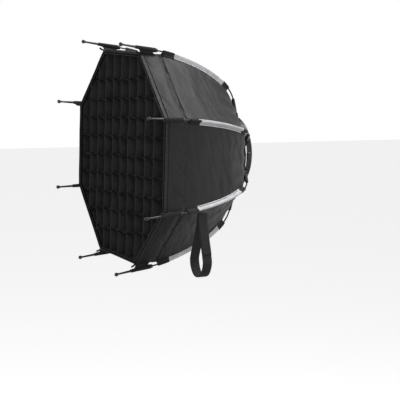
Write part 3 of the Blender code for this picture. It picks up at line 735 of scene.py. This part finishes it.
def turn_out(obj, turn):
    """Flip an open sheet's faces if they don't face away from the optical axis."""
    mesh = obj.data
    outward = Vector((math.cos(turn), 0, math.sin(turn)))
    facing = sum(face.normal.dot(outward) * face.area for face in mesh.polygons)
    if facing < 0:
        mesh.flip_normals()


def sew_gore(index, points):
    """The stitch lines of one gore: two along the groove, one along the hem."""
    from_front = PROFILE_LENGTH - RUN_STOPS
    rings = []
    for place_from_front in (SEAM_LINE - STITCH_ROW, SEAM_LINE + STITCH_ROW, HEM - 0.0012):
        row = int(np.argmin(np.abs(from_front - place_from_front)))
        line = points[row]
        centre = np.array([0.0, line[0][1], 0.0])
        outward = line - centre
        outward /= np.linalg.norm(outward, axis=1, keepdims=True)
        rings.append(stitches(line, outward))
    sewn = add_piece(f"gore_stitching_{index + 1}", merged(rings), THREAD)
    follow_shell(sewn)


# ---------------------------------------------------------------- front edge

def octagon_half_path(index, apothem, depth, count=20, bend=0.004):
    """A path along the octagon's edge round one corner, between the middles of its two sides."""
    turn = rib_angle(index)
    corner = place(turn, apothem / math.cos(HALF_STEP), depth)
    legs = []
    for side in (-1, 1):
        end = place(turn + side * HALF_STEP, apothem, depth)
        near = corner + (end - corner).normalized() * bend
        legs.append([end.lerp(near, i / count) for i in range(count + 1)])
    first, last = legs[0][-1], legs[1][-1]
    rounded = [first.lerp(corner, s).lerp(corner.lerp(last, s), s) for s in (0.2, 0.4, 0.6, 0.8)]
    return legs[0] + rounded + list(reversed(legs[1]))


def wavy(path, size, seed):
    """The path with a slight, soft waver across it that fades to nothing at its ends."""
    count = len(path)
    result = []
    for i, point in enumerate(path):
        fade = math.sin(math.pi * i / (count - 1)) ** 0.5 if 0 < i < count - 1 else 0.0
        shift = noise.noise_vector(Vector(point) * 24 + Vector((seed, 0, 0)))
        result.append(point + shift * size * fade)
    return result


def edge_tape(index):
    """The tape folded over the front edge, from the outside of the cloth round to its inside."""
    outline = [
        (-0.0006, 0.0088), (0.0003, 0.0084), (0.0004, 0.0050), (0.0004, 0.0018), (0.0000, 0.0004),
        (-0.0012, -0.0001), (-0.0030, 0.0002), (-0.0048, 0.0009), (-0.0056, 0.0022), (-0.0058, 0.0050),
    ]
    points, uv = [], []
    for row, (out, depth) in enumerate(outline):
        seam = float(np.interp(-depth, -PROFILE[:, 1], PROFILE[:, 0])) * math.cos(HALF_STEP)
        path = octagon_half_path(index, seam + out, depth)
        for k, point in enumerate(path):
            fade = min(k, len(path) - 1 - k) / 6
            shift = 0.0005 * min(1.0, fade) * noise.noise(Vector((k * 0.7, index * 5.0, row * 0.3)))
            points.append(point + Vector((0, shift, 0)))
            uv.append((k * 0.004, row * 0.0022))
    faces = lattice(len(outline), len(points) // len(outline))
    return add_piece(f"front_tape_{index + 1}", (points, faces, uv), TAPE)


def build_front_edge():
    """The bound front edge: a folded tape with cords sewn outside, in front of and inside it."""
    for index in range(SIDES):
        cords = []
        for out, depth, radius, sides, seed in (
            (0.0008, 0.0088, 0.0010, 10, 0),
            (-0.0014, -0.0002, 0.0008, 8, 20),
            (-0.0058, 0.0012, 0.0008, 8, 40),
        ):
            path = wavy(octagon_half_path(index, APOTHEM + out, depth), 0.0006, 3 * index + seed)
            cords.append(tube(path, radius, sides))
        piping = add_piece(f"front_piping_{index + 1}", merged(cords), WEBBING)
        band = edge_tape(index)
        thicken(band, TAPE_THICK)
        for piece in (piping, band):
            follow_shell(piece)
            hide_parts("front_rim")


# ---------------------------------------------------------------- grid

def strip_line(strip):
    """How far off the grid's centre a strip's line lies."""
    return (strip - (GRID_COUNT - 1) / 2) * GRID_PITCH


def strip_waver(strip, place_along, upright):
    """How far a grid strip lies off its line at a place along it, from its crossings' slack."""
    crossing = place_along / GRID_PITCH + GRID_COUNT
    low = math.floor(crossing)
    share = crossing - low
    seed = 31.7 if upright else 77.3

    def at(k):
        return noise.noise(Vector((strip * 3.71 + seed, k * 2.13, 0.5)))

    eased = share * share * (3 - 2 * share)
    return GRID_WAVER * (at(low) * (1 - eased) + at(low + 1) * eased)


def grid_point(strip, along, down, upright):
    """A point of the egg-crate: how far along its strip and how far back from the front edge."""
    line = strip_line(strip)
    crossing = (along - GRID_LEAN * line * upright) / GRID_PITCH
    between = math.sin(math.pi * (crossing - math.floor(crossing))) ** 2
    front = (1 - down) ** 1.5
    lateral = strip_waver(strip, along, upright) * (0.35 + 0.65 * front)
    bulge = noise.noise(Vector((strip * 5.1, along * 21, 2.0 if upright else 6.0)))
    lateral += GRID_BULGE * bulge * between * (0.4 + 0.6 * front)
    back = 0.0006 + 0.0018 * abs(noise.noise(Vector((strip * 2.3, along * 16, 9.0)))) * between
    if not upright:
        lateral -= 0.0024 * between * front
        back += 0.0022 * between
        buckle = noise.noise(Vector((strip * 4.7, 40.0 * math.copysign(1, along), 3.0)))
        low, high = grid_ends(line, upright)
        lateral += GRID_BUCKLE * buckle * math.exp(-min(along - low, high - along) / 0.016) * between
        lateral += GRID_LEAN * along
    depth = GRID_FRONT + (GRID_REAR - GRID_FRONT) * down + back * front
    if upright:
        return Vector((line + lateral, depth - DEPTH, along))
    return Vector((along, depth - DEPTH, line + lateral))


def grid_ends(line, upright):
    """Where a strip that lies this far off the centre meets the octagonal border at either end."""
    lean = 0.0 if upright else GRID_LEAN
    low, high = -GRID_APOTHEM, GRID_APOTHEM
    for side in range(SIDES):
        turn = 2 * HALF_STEP * side
        slope = math.cos(turn) + lean * math.sin(turn)
        room = GRID_APOTHEM - line * math.sin(turn)
        if slope > 1e-6:
            high = min(high, room / slope)
        elif slope < -1e-6:
            low = max(low, room / slope)
    return low, high


def strip_stops(line, upright):
    """The places along a strip where it is cut: evenly, and where it crosses from gore to gore."""
    low, high = grid_ends(line, upright)
    stops = set(np.round(np.linspace(low, high, int((high - low) / GRID_STEP)), 6))
    stops |= {0.0}
    for crossing in (line, -line):
        if low < crossing < high:
            stops.add(round(crossing, 6))
    return sorted(stops)


def sector_of(x, z):
    """The index of the rib whose gore holds a point."""
    turn = math.atan2(z, x) % (2 * math.pi)
    return int(turn / (2 * HALF_STEP)) % SIDES


def shadow_hem_radius(point):
    """Half the thickness of a level strip's near-black rolled edge: bunched by each crossing, thin
    between, as painted shadow at the crossings.
    """
    share = (point.x / GRID_PITCH) % 1.0
    bunch = math.sin(math.pi * min(1.0, share / 0.62)) ** 1.4
    fullness = 0.7 + 0.6 * noise.noise(Vector((point.x * 26, point.z * 26, 17.0)))
    return 0.0006 + 0.0017 * bunch * max(0.25, fullness)


def strip_runs(line, upright):
    """A strip's stretches, each with the sector that it lies in, as (sector, places along it)."""
    stops = strip_stops(line, upright)
    pieces = {}
    for start, end in zip(stops, stops[1:]):
        middle = (start + end) / 2
        sector = sector_of(line, middle) if upright else sector_of(middle, line)
        runs = pieces.setdefault(sector, [])
        if runs and abs(runs[-1][-1] - start) < 1e-9:
            runs[-1].append(end)
        else:
            runs.append([start, end])
    return [(sector, run) for sector, runs in pieces.items() for run in runs]


def grid_sectors():
    """The cloth of all the strips, as a list of (points, faces, uv) groups for each sector."""
    sectors = [[] for _ in range(SIDES)]
    for upright in (True, False):
        for strip in range(GRID_COUNT):
            for sector, run in strip_runs(strip_line(strip), upright):
                places = [(along, down) for down in GRID_DOWN for along in run]
                points = [grid_point(strip, along, down, upright) for along, down in places]
                uv = [(along, down * GRID_REAR) for along, down in places]
                sectors[sector].append((points, lattice(len(GRID_DOWN), len(run)), uv))
    return sectors


def build_grid():
    """The egg-crate: upright and level cloth strips that waver between their crossings."""
    for index, groups in enumerate(grid_sectors()):
        cells = add_piece(f"grid_cells_{index + 1}", merged(groups), GRID_CLOTH, outward=False)
        follow_inside(cells)
        thicken(cells, GRID_THICK, 0.0)
        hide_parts("egg_crate_grid")
        build_grid_shadow_hem(index, groups)
        build_grid_border(index)


def build_grid_shadow_hem(index, groups):
    """The near-black rolled front edges of the level strips in one sector, on the level strips only:
    painted shade for the shadow along them.
    """
    edges = []
    for points, _, _ in groups:
        front = points[:len(points) // len(GRID_DOWN)]
        upright = abs(front[0].z - front[-1].z) > abs(front[0].x - front[-1].x)
        if len(front) > 2 and not upright:
            # Painted shade: near-black tape tubes on the level strips only, thickest by each crossing,
            # stand in for the shadow along their front edges
            edges.append(tube(front, [shadow_hem_radius(point) for point in front], 6))
    hem = add_piece(f"grid_shadow_hem_{index + 1}", merged(edges), TAPE)
    follow_inside(hem)


def build_grid_border(index):
    """The grid's bound border, standing just inside the front edge, round one corner."""
    rows = 8
    points, uv = [], []
    for row in range(rows):
        down = row / (rows - 1)
        depth = GRID_FRONT + (GRID_REAR - GRID_FRONT) * down
        path = octagon_half_path(index, GRID_APOTHEM, 0.0, 26, 0.005)
        for k, point in enumerate(path):
            loose = math.sin(math.pi * down) * min(1.0, min(k, len(path) - 1 - k) / 3)
            ripple = noise.noise(Vector((point.x * 42, point.z * 42, down * 1.5)))
            tuck = 0.0016 * (ripple - 0.55) * loose
            inward = Vector((point.x, 0, point.z)).normalized() * tuck
            points.append(Vector((point.x, depth - DEPTH, point.z)) + inward)
            uv.append((0.004 * k, depth))
    shape = points, lattice(rows, len(points) // rows), uv
    border = add_piece(f"grid_border_{index + 1}", shape, GRID_CLOTH, outward=False)
    turn_out(border, rib_angle(index))
    follow_inside(border)
    thicken(border, GRID_BORDER_THICK, 0.0)
    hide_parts("egg_crate_grid")


# ---------------------------------------------------------------- diffusers

def sector_sheet(index, apothem, depth, sag):
    """One corner's share of a flat octagonal cloth, as a grid from the axis out to the edge."""
    rows, columns = 26, 25
    turn = rib_angle(index)
    points, uv = [], []
    for row in range(rows):
        share = row / (rows - 1)
        for column in range(columns):
            offset = HALF_STEP * (2 * column / (columns - 1) - 1)
            edge = apothem / math.cos(HALF_STEP - abs(offset))
            radius = edge * share
            point = place(turn + offset, radius, depth)
            ripple = noise.noise(Vector((point.x * 14, point.z * 14, depth * 40)))
            dip = sag * (math.cos(math.pi * share / 2) + 0.5 * ripple * (1 - share ** 4))
            points.append(point + Vector((0, dip, 0)))
            uv.append((point.x, point.z))
    return points, lattice(rows, columns), uv


def build_diffusers():
    """The front diffuser, and the inner baffle on its elastic ties, as eight shares each."""
    baffle_apothem = BAFFLE_RADIUS * math.cos(HALF_STEP)
    for index in range(SIDES):
        for name, apothem, depth, sag, node in (
            ("front_diffusion", DIFFUSER_APOTHEM, DIFFUSER_DEPTH + 0.0002, 0.0012, "front_diffuser"),
            ("baffle_diffusion", baffle_apothem, BAFFLE_DEPTH + 0.0004, 0.0015, "inner_baffle"),
        ):
            shape = sector_sheet(index, apothem, depth, sag)
            cloth = add_piece(f"{name}_{index + 1}", shape, DIFFUSION, outward=False)
            follow_inside(cloth)
            thicken(cloth, DIFFUSION_THICK, 0.0, rim=False)
            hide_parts(node)
        build_baffle_edge(index)


def build_baffle_edge(index):
    """The baffle's bound edge round one corner, and the elastic tie from that corner to the seam."""
    turn = rib_angle(index)
    apothem = BAFFLE_RADIUS * math.cos(HALF_STEP)
    edge = tube(octagon_half_path(index, apothem, BAFFLE_DEPTH + 0.0004), 0.0010, 8)
    seam = float(np.interp(-BAFFLE_DEPTH, -PROFILE[:, 1], PROFILE[:, 0])) - 0.001
    stops = [BAFFLE_RADIUS - 0.008 + (seam - BAFFLE_RADIUS + 0.008) * i / 8 for i in range(9)]
    points, uv = [], []
    for i, radius in enumerate(stops):
        for around in (-0.003, -0.001, 0.001, 0.003):
            points.append(place(turn, radius, BAFFLE_DEPTH + 0.0004 * math.sin(i), around))
            uv.append((radius, around))
    tie = (points, lattice(len(stops), 4), uv)
    trim = add_piece(f"baffle_trim_{index + 1}", merged([edge, tie]), WEBBING)
    follow_inside(trim)
    thicken(trim, BAFFLE_TRIM_THICK)
    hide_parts("inner_baffle")


# ---------------------------------------------------------------- ribs

def rib_sweep(turn, stops, section):
    """A closed section carried along the rod, as (points, faces, uv).

    The section is a function of the place along the rod, giving (out, around) points.
    """
    points, uv = [], []
    run = 0.0
    previous = rod_point(stops[0])
    for t in stops:
        centre, outward = rod_point(t), rod_outward(t)
        run += (centre - previous).length
        previous = centre
        outline = section(t)
        count = len(outline)
        for out, around in outline:
            spot = centre + outward * out
            points.append(place(turn, spot.x, spot.y, around))
            uv.append((run, around))
    return points, capped(len(stops), count), uv


def folded_outline(t, half_width, height, foot, seat):
    """A tape folded over the rod: two flat feet on the cloth and a round ridge between them.

    The feet slope with the two sides, which meet at the corner seam under the rod.
    """
    seam = -seam_gap(t) + seat
    ridge = 0.0026
    outer = []
    for share in (1.0, 0.82, 0.64):
        around = -half_width * share
        outer.append((seam - SIDE_SLOPE * abs(around) + foot * (1 if share < 1 else 0.45), around))
    for turn in (-80, -55, -30, -10, 10, 30, 55, 80):
        angle = math.radians(turn)
        lift = height * math.cos(angle) - 0.0004 * (1 - math.cos(angle))
        outer.append((lift, ridge * math.sin(angle) / math.sin(math.radians(80))))
    outer += [(out, -around) for out, around in reversed(outer[:3])]
    foot_line = seam - SIDE_SLOPE * half_width
    under = [(foot_line, half_width), (seam - SIDE_SLOPE * 0.001, 0.0), (foot_line, -half_width)]
    return outer + under


POCKET_FRONT = rod_share(0.051)
POCKET_REAR = rod_share(0.0765)
WRAP_FRONT = 0.250
WRAP_REAR = 0.160


def along(start, end, count):
    return [start + (end - start) * i / (count - 1) for i in range(count)]


def build_binding(index):
    """The grey tape over the rod, and the black pocket and wrap at its ends."""
    tucked = 0.012
    grey_tape = (0.00525, 0.0026, 0.0008), TWILL, "channel_fabric"
    black_tape = (0.0060, 0.0036, 0.0015), PIPING, "black_fabric"
    parts = (
        ("binding", along(WRAP_FRONT - tucked, POCKET_REAR + tucked, 40), *grey_tape),
        ("pocket", along(POCKET_REAR, POCKET_FRONT, 16), *black_tape),
        ("wrap", along(WRAP_REAR, WRAP_FRONT, 12), *black_tape),
    )
    for part, stops, fold, material, slot in parts:
        def section(t, fold=fold):
            return folded_outline(t, *fold, BINDING_SEAT)
        shape = rib_sweep(rib_angle(index), stops, section)
        piece = add_piece(f"rib_{index + 1}_{part}", shape, material)
        piece.data.set_sharp_from_angle(angle=TAPE_FOLD)
        soften(piece, 0.00035)
        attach(piece, f"rib_{index + 1}")
        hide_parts(f"rib_{index + 1}_channel")
    edge_binding(index)
    sew_binding(index)


def edge_binding(index):
    """The pale cord along both edges of the grey tape."""
    turn = rib_angle(index)
    groups = []
    for side in (-1, 1):
        around = BINDING_EDGE * side
        path = []
        for t in along(WRAP_FRONT + 0.003, POCKET_REAR - 0.003, 44):
            spot = rod_point(t) + rod_outward(t) * (-seam_gap(t) - SIDE_SLOPE * abs(around) + 0.0007)
            path.append(place(turn, spot.x, spot.y, around))
        groups.append(tube(path, 0.0007, 8))
    cords = add_piece(f"rib_{index + 1}_binding_edge", merged(groups), PALE_THREAD)
    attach(cords, f"rib_{index + 1}")


def sew_binding(index):
    """Stitches along both feet of the grey tape."""
    turn = rib_angle(index)
    groups = []
    for side in (-1, 1):
        around = BINDING_SEAM * side
        path, outward = [], []
        for t in along(WRAP_FRONT, POCKET_REAR, 40):
            lift = -seam_gap(t) - SIDE_SLOPE * abs(around) + 0.0010
            spot = rod_point(t) + rod_outward(t) * lift
            path.append(place(turn, spot.x, spot.y, around))
            lean = rod_outward(t)
            outward.append(place(turn, lean.x, lean.y + DEPTH, side * SIDE_SLOPE))
        groups.append(stitches(path, outward, 0.0046, 0.0030, 0.00028))
    sewn = add_piece(f"rib_{index + 1}_stitching", merged(groups), THREAD)
    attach(sewn, f"rib_{index + 1}")


def soften(obj, width):
    """A small rounding of a piece's hard edges."""
    bevel = obj.modifiers.new("soft_edges", "BEVEL")
    bevel.width = width
    bevel.segments = 2
    bevel.limit_method = "ANGLE"
    bevel.angle_limit = TAPE_FOLD
    bevel.harden_normals = True


def build_rod(index):
    """The sprung rod as a smooth tube from its root socket to its tip socket."""
    turn = rib_angle(index)
    rear, front = Vector(ROD_CURVE[0]), Vector(ROD_CURVE[3])
    root = rear - (rear - Vector(ROOT_SOCKET)).normalized() * ROD_IN_ROOT
    tip = front + (Vector(TIP_END) - front).normalized() * ROD_IN_TIP
    flat = [root] + [rod_point(i / 48) for i in range(49)] + [tip]
    path = [place(turn, p.x, p.y) for p in flat]
    shape = tube(path, ROD_RADIUS, 14, place(turn + math.pi / 2, 1.0, DEPTH))
    rod = add_piece(f"rib_{index + 1}_sprung_rod", shape, SPRUNG_STEEL)
    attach(rod, f"rib_{index + 1}")
    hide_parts(f"rib_{index + 1}_rod")


def build_tip(index):
    """The tapered tip sleeve: a ferrule with two grip rings, a slim shank and a ball."""
    turn = rib_angle(index)
    start = place(turn, *ROD_CURVE[3])
    end = place(turn, *TIP_END)
    length = (end - start).length
    profile = [(0.0017, 0.0006), (0.0031, 0.0), (0.0037, 0.0008), (0.0039, 0.0022)]
    for ring in (0.0045, 0.0072):
        profile += [(0.0039, ring), (0.0035, ring + 0.0004)]
        profile += [(0.0035, ring + 0.0010), (0.0039, ring + 0.0014)]
    profile += [(0.0038, 0.0130), (0.0036, 0.0148), (0.0031, 0.0164), (0.0029, 0.0185)]
    for share in (0.25, 0.5, 0.75, 1.0):
        profile.append((0.0029 - 0.0011 * share, 0.0185 + (length - 0.0245) * share))
    profile += [(0.0020, length - 0.0048), (0.0024, length - 0.0040)]
    for step in range(12):
        lean = -0.85 + (math.pi / 2 + 0.85) * step / 11
        profile.append((TIP_BALL * math.cos(lean), length + TIP_BALL * math.sin(lean)))
    shape = turned(profile, start, end - start, 20)
    tip = add_piece(f"rib_{index + 1}_tip_sleeve", shape, TIP_RUBBER)
    tip.data.set_sharp_from_angle(angle=ROUND_EDGE)
    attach(tip, f"rib_{index + 1}")
    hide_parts(f"rib_{index + 1}_tip")


def build_web(index, sleeve):
    """The doubled cloth web from a front corner to the tip sleeve."""
    turn = rib_angle(index)
    seam_front, seam_rear = Vector((CORNER_RADIUS - 0.0005, 0.0020)), Vector(WEB_REAR)
    rows, columns = 10, 16
    points, uv = [], []
    for layer in (-1, 1):
        for row in range(rows):
            up = row / (rows - 1)
            for column in range(columns):
                share = column / (columns - 1)
                low = seam_rear.lerp(seam_front, share)
                high = sleeve[0].lerp(sleeve[1], share)
                spot = low.lerp(high, up)
                curve = 0.0035 * math.sin(math.pi * up) * (2 * share - 1)
                spot = spot + Vector((0, curve))
                swell = 0.0005 + 0.0016 * (up ** 6)
                ripple = 0.0007 * noise.noise(Vector((share * 4, up * 2, index * 3.7)))
                around = layer * swell + ripple * math.sin(math.pi * up)
                points.append(place(turn, spot.x, spot.y, around))
                uv.append((spot.y, spot.x))
    size = rows * columns
    layer_faces = lattice(rows, columns)
    faces = layer_faces + [tuple(size + i for i in face) for face in layer_faces]
    border = list(range(columns)) + [r * columns + columns - 1 for r in range(1, rows)]
    border += [(rows - 1) * columns + c for c in reversed(range(columns - 1))]
    border += [r * columns for r in reversed(range(1, rows - 1))]
    for a, b in zip(border, border[1:] + border[:1]):
        faces.append((a, b, size + b, size + a))
    web = add_piece(f"rib_{index + 1}_corner_web", (points, faces, uv), NYLON)
    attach(web, f"rib_{index + 1}")


def build_casing(index, sleeve):
    """The cloth casing over the tip sleeve, and the tail of the front piping at the corner."""
    turn = rib_angle(index)
    casing_path = [sleeve[0].lerp(sleeve[1], s) for s in along(-0.02, 1.0, 14)]
    radii = [0.0034 + 0.0012 * (1 - s) for s in along(0.0, 1.0, 14)]
    casing_points = [place(turn, p.x, p.y) for p in casing_path]
    shell = tube(casing_points, radii, 14, place(turn + math.pi / 2, 1.0, DEPTH))
    corner = place(turn, CORNER_RADIUS + 0.0004, 0.0008)
    tail_end = place(turn, CORNER_RADIUS + 0.0050, -0.0078)
    tail_path = []
    for share in along(0, 1, 8):
        sag = Vector((0, 0, -0.0010 * math.sin(math.pi * share)))
        tail_path.append(corner.lerp(tail_end, share) + sag)
    tail = tube(tail_path, [0.0019, 0.0019, 0.0018, 0.0017, 0.0017, 0.0018, 0.0021, 0.0012], 10)
    casing = add_piece(f"rib_{index + 1}_tip_casing", merged([shell, tail]), PIPING)
    casing.data.set_sharp_from_angle(angle=ROUND_EDGE)
    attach(casing, f"rib_{index + 1}")


def build_ribs():
    sleeve = [Vector(ROD_CURVE[3]).lerp(Vector(TIP_END), share) for share in (0.07, 0.60)]
    for index in range(SIDES):
        build_rod(index)
        build_tip(index)
        build_binding(index)
        build_web(index, sleeve)
        build_casing(index, sleeve)


# ---------------------------------------------------------------- strap

STRAP_LOW, STRAP_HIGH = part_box("carry_strap")
STRAP_X = (STRAP_LOW.x + STRAP_HIGH.x) / 2
STRAP_Y = (STRAP_LOW.y + STRAP_HIGH.y) / 2
STRAP_TOP = STRAP_HIGH.z - 0.0008
STRAP_WIDTH = STRAP_HIGH.y - STRAP_LOW.y
STRAP_DROP = 0.1245
STRAP_WIDEST = 0.092
STRAP_HALF_OPEN = 0.0265
STRAP_THICK = 0.0016
STRAP_RIBS = 8
STRAP_SEWN = (0.002, 0.078)


def strap_half_gap(drop):
    """Half the distance between the strap's legs, this far below its top."""
    start, least = 0.006, STRAP_THICK / 2 + 0.0005
    if drop < start:
        return least
    if drop < STRAP_WIDEST:
        share = (drop - start) / (STRAP_WIDEST - start)
        return least + (STRAP_HALF_OPEN - least) * share ** 1.6 * (1.6 - 0.6 * share)
    share = (drop - STRAP_WIDEST) / (STRAP_DROP - STRAP_WIDEST)
    return STRAP_HALF_OPEN * math.sqrt(max(0.0, 1 - share * share))


def strap_leg(side, drops):
    return [Vector((STRAP_X + side * strap_half_gap(d), STRAP_Y, STRAP_TOP - d)) for d in drops]


def ribbed_band(path, seed):
    """The strap's webbing along a path in the XZ plane, with a ribbed face and rounded edges."""
    columns = 2 * STRAP_RIBS + 1
    points, uv = [], []
    run = 0.0
    for i, point in enumerate(path):
        ahead, behind = path[min(i + 1, len(path) - 1)], path[max(i - 1, 0)]
        along_path = (ahead - behind).normalized()
        normal = Vector((-along_path.z, 0, along_path.x))
        run += (point - path[i - 1]).length if i else 0.0
        lean = 0.0007 * noise.noise(Vector((run * 30, seed, 0.0)))
        for face in (1, -1):
            for k in range(columns):
                share = k / (columns - 1)
                uneven = 1 + 0.01 * noise.noise(Vector((run * 60, seed, 5.0)))
                across = (share - 0.5) * STRAP_WIDTH * uneven
                round_edge = 1 - 0.55 * abs(2 * share - 1) ** 10
                rib = 1 + 0.16 * (k % 2)
                out = face * STRAP_THICK / 2 * round_edge * rib + lean * (2 * share - 1)
                order = across if face == 1 else -across
                points.append(point + normal * out + Vector((0, order, 0)))
                uv.append((run, order))
    return points, capped(len(path), 2 * columns), uv


def build_strap():
    """The webbing loop, its doubled and box-stitched top on the near leg, and its sewn anchor."""
    drops = along(0.0, STRAP_WIDEST, 44)
    legs = strap_leg(1, drops), strap_leg(-1, drops)
    bend = []
    for i in range(1, 28):
        turn = math.pi * i / 28
        drop = STRAP_WIDEST + (STRAP_DROP - STRAP_WIDEST) * math.sin(turn)
        bend.append(Vector((STRAP_X + STRAP_HALF_OPEN * math.cos(turn), STRAP_Y, STRAP_TOP - drop)))
    path = legs[0] + bend + list(reversed(legs[1]))
    loop = add_piece("strap_loop", ribbed_band(path, 1.0), WEBBING)
    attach(loop, "strap")
    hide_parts("carry_strap")
    tab_path = [p + Vector((STRAP_THICK * 1.02, 0, 0)) for p in strap_leg(1, along(*STRAP_SEWN, 34))]
    tab = add_piece("strap_sewn_end", ribbed_band(tab_path, 4.0), WEBBING)
    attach(tab, "strap")
    sew_strap(tab_path)


def sew_strap(path):
    """A box with a cross in it, stitched through the doubled end of the strap."""
    outer = STRAP_THICK * 0.62

    def spot(share, across):
        position = share * (len(path) - 1)
        low = min(int(position), len(path) - 2)
        return path[low].lerp(path[low + 1], position - low) + Vector((outer, across, 0))

    half = STRAP_WIDTH / 2 - 0.0025
    top, bottom = 0.56, 0.965
    lines = (
        ((top, -half), (bottom, -half)), ((bottom, -half), (bottom, half)), ((bottom, half), (top, half)),
        ((top, half), (top, -half)), ((top, -half), (bottom, half)), ((top, half), (bottom, -half)),
    )
    groups = []
    for (s0, a0), (s1, a1) in lines:
        route = [spot(s0 + (s1 - s0) * k / 12, a0 + (a1 - a0) * k / 12) for k in range(13)]
        groups.append(stitches(route, [Vector((1, 0, 0))] * 13, 0.0034, 0.0024, 0.00032))
    sewn = add_piece("strap_box_stitch", merged(groups), THREAD)
    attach(sewn, "strap")


# ---------------------------------------------------------------- hub

def build_springs():
    """The coil spring behind each release button."""
    for side in ("near", "far"):
        low, high = (Vector(corner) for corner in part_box(f"button_spring_{side}"))
        centre = (low + high) / 2
        coil_radius = (high.z - low.z) / 2 - SPRING_WIRE
        half = (high.x - low.x) / 2 - SPRING_WIRE
        steps = SPRING_TURNS * 20
        path = []
        for step in range(steps + 1):
            turn = 2 * math.pi * SPRING_TURNS * step / steps
            lengthwise = half * (2 * step / steps - 1)
            spoke = Vector((lengthwise, coil_radius * math.cos(turn), coil_radius * math.sin(turn)))
            path.append(centre + spoke)
        coil = add_piece(f"button_coil_{side}", tube(path, SPRING_WIRE, 8), BRIGHT_STEEL)
        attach(coil, "hub")
        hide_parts(f"button_spring_{side}")
        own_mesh(coil)


def finish_hub():
    """Materials for the CAD nodes that stay, with their edges left as they were made."""
    finishes = {
        "hub_ring": HUB_PLASTIC, "fabric_clamp_ring": HUB_PLASTIC, "hub_rear_cover": HUB_PLASTIC,
        "release_button_near": HUB_PLASTIC, "release_button_far": HUB_PLASTIC,
        "bayonet_ring": BAYONET_ALLOY, "lock_ring": LOCK_ALLOY, "hinge_wire": BRIGHT_STEEL,
    }
    for number in range(1, 5):
        finishes[f"mount_screw_{number}"] = BRIGHT_STEEL
    for number in range(1, SIDES + 1):
        finishes[f"rib_{number}_root"] = HUB_PLASTIC
    for name, material in finishes.items():
        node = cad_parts[name]
        for slot in node.material_slots:
            slot.material = material


# ---------------------------------------------------------------- stage

def build_world():
    """A surround that is white round the horizon and falls away to a dim ceiling."""
    world = bpy.data.worlds.new("surround")
    world.use_nodes = True
    tree = world.node_tree
    background = tree.nodes["Background"]
    background.inputs["Color"].default_value = (1.0, 1.0, 1.0, 1)
    direction = tree.nodes.new("ShaderNodeTexCoord").outputs["Generated"]
    split = tree.nodes.new("ShaderNodeSeparateXYZ")
    fall = tree.nodes.new("ShaderNodeMapRange")
    fall.interpolation_type = "SMOOTHSTEP"
    for name, value in (("From Min", 0.06), ("From Max", 0.45), ("To Min", 1.0), ("To Max", 0.10)):
        fall.inputs[name].default_value = value
    tree.links.new(direction, split.inputs[0])
    tree.links.new(split.outputs["Z"], fall.inputs["Value"])
    tree.links.new(fall.outputs["Result"], background.inputs["Strength"])
    bpy.context.scene.world = world


def build_stage():
    """A pale floor far below, with painted shadow under the softbox and painted glow further out, a white
    surround and soft lights.
    """
    floor_finish = Finish("floor_painted_shade_glow", 0.9, Specular_IOR_Level=0.1)
    where = floor_finish.coordinates("Object")
    away = floor_finish.node("ShaderNodeVectorMath", {0: where}, operation="LENGTH").outputs["Value"]
    # Painted shadow and painted light: the floor's colour runs from dark grey under the softbox to pale
    # further out, and it glows more further out though it is no lamp
    shade_to_glow = floor_finish.span(away, 0.9, 3.3)
    floor_finish.colour(floor_finish.mix(shade_to_glow, (0.30, 0.30, 0.30), (0.90, 0.90, 0.90)))
    painted_glow = floor_finish.mix(shade_to_glow, (0.02, 0.02, 0.02), (0.72, 0.72, 0.72))
    floor_finish.tree.links.new(painted_glow, floor_finish.shader.inputs["Emission Color"])
    floor_finish.shader.inputs["Emission Strength"].default_value = 1.0
    points = [(x * FLOOR_HALF, y * FLOOR_HALF, 0.0) for x, y in ((-1, -1), (1, -1), (1, 1), (-1, 1))]
    floor = add_piece("floor", (points, [(0, 1, 2, 3)], None), floor_finish.material, outward=False)
    floor.location = (CENTRE[0], CENTRE[1], -FLOOR_DROP)
    build_world()
    lights = (
        ("overhead", (0.40, 0.95, 1.95), 1.4, 64),
        ("side", (2.5, -1.4, 1.35), 1.3, 24),
        ("front", (-1.2, -3.0, 0.6), 1.6, 8),
    )
    for name, spot, width, power in lights:
        lamp = bpy.data.lights.new(name, "AREA")
        lamp.size = width
        lamp.energy = power
        light = bpy.data.objects.new(name, lamp)
        bpy.context.scene.collection.objects.link(light)
        light.location = spot
        light.rotation_euler = (Vector(spot) - Vector(CENTRE)).to_track_quat("Z", "Y").to_euler()


def build_camera():
    """A long lens on the +X side, ahead of the opening and a little above it, rolled slightly."""
    flat_run = math.cos(CAMERA_ELEVATION)
    back = Vector((
        math.sin(CAMERA_AZIMUTH) * flat_run,
        -math.cos(CAMERA_AZIMUTH) * flat_run,
        math.sin(CAMERA_ELEVATION),
    ))
    level = Vector((math.cos(CAMERA_AZIMUTH), math.sin(CAMERA_AZIMUTH), 0))
    upright = back.cross(level)
    right = level * math.cos(CAMERA_ROLL) + upright * math.sin(CAMERA_ROLL)
    up = upright * math.cos(CAMERA_ROLL) - level * math.sin(CAMERA_ROLL)
    lens = bpy.data.cameras.new("camera")
    lens.lens = FOCAL_LENGTH
    lens.sensor_width = SENSOR_WIDTH
    lens.clip_end = 50
    camera = bpy.data.objects.new("camera", lens)
    bpy.context.scene.collection.objects.link(camera)
    turn = Matrix((right, up, back)).transposed().to_4x4()
    camera.matrix_world = Matrix.Translation(CAMERA_SPOT) @ turn
    bpy.context.scene.camera = camera


def main():
    build_camera()
    build_stage()
    build_shell()
    build_front_edge()
    build_grid()
    build_diffusers()
    build_ribs()
    build_strap()
    build_springs()
    finish_hub()
    bpy.context.scene.view_settings.view_transform = "Standard"


main()
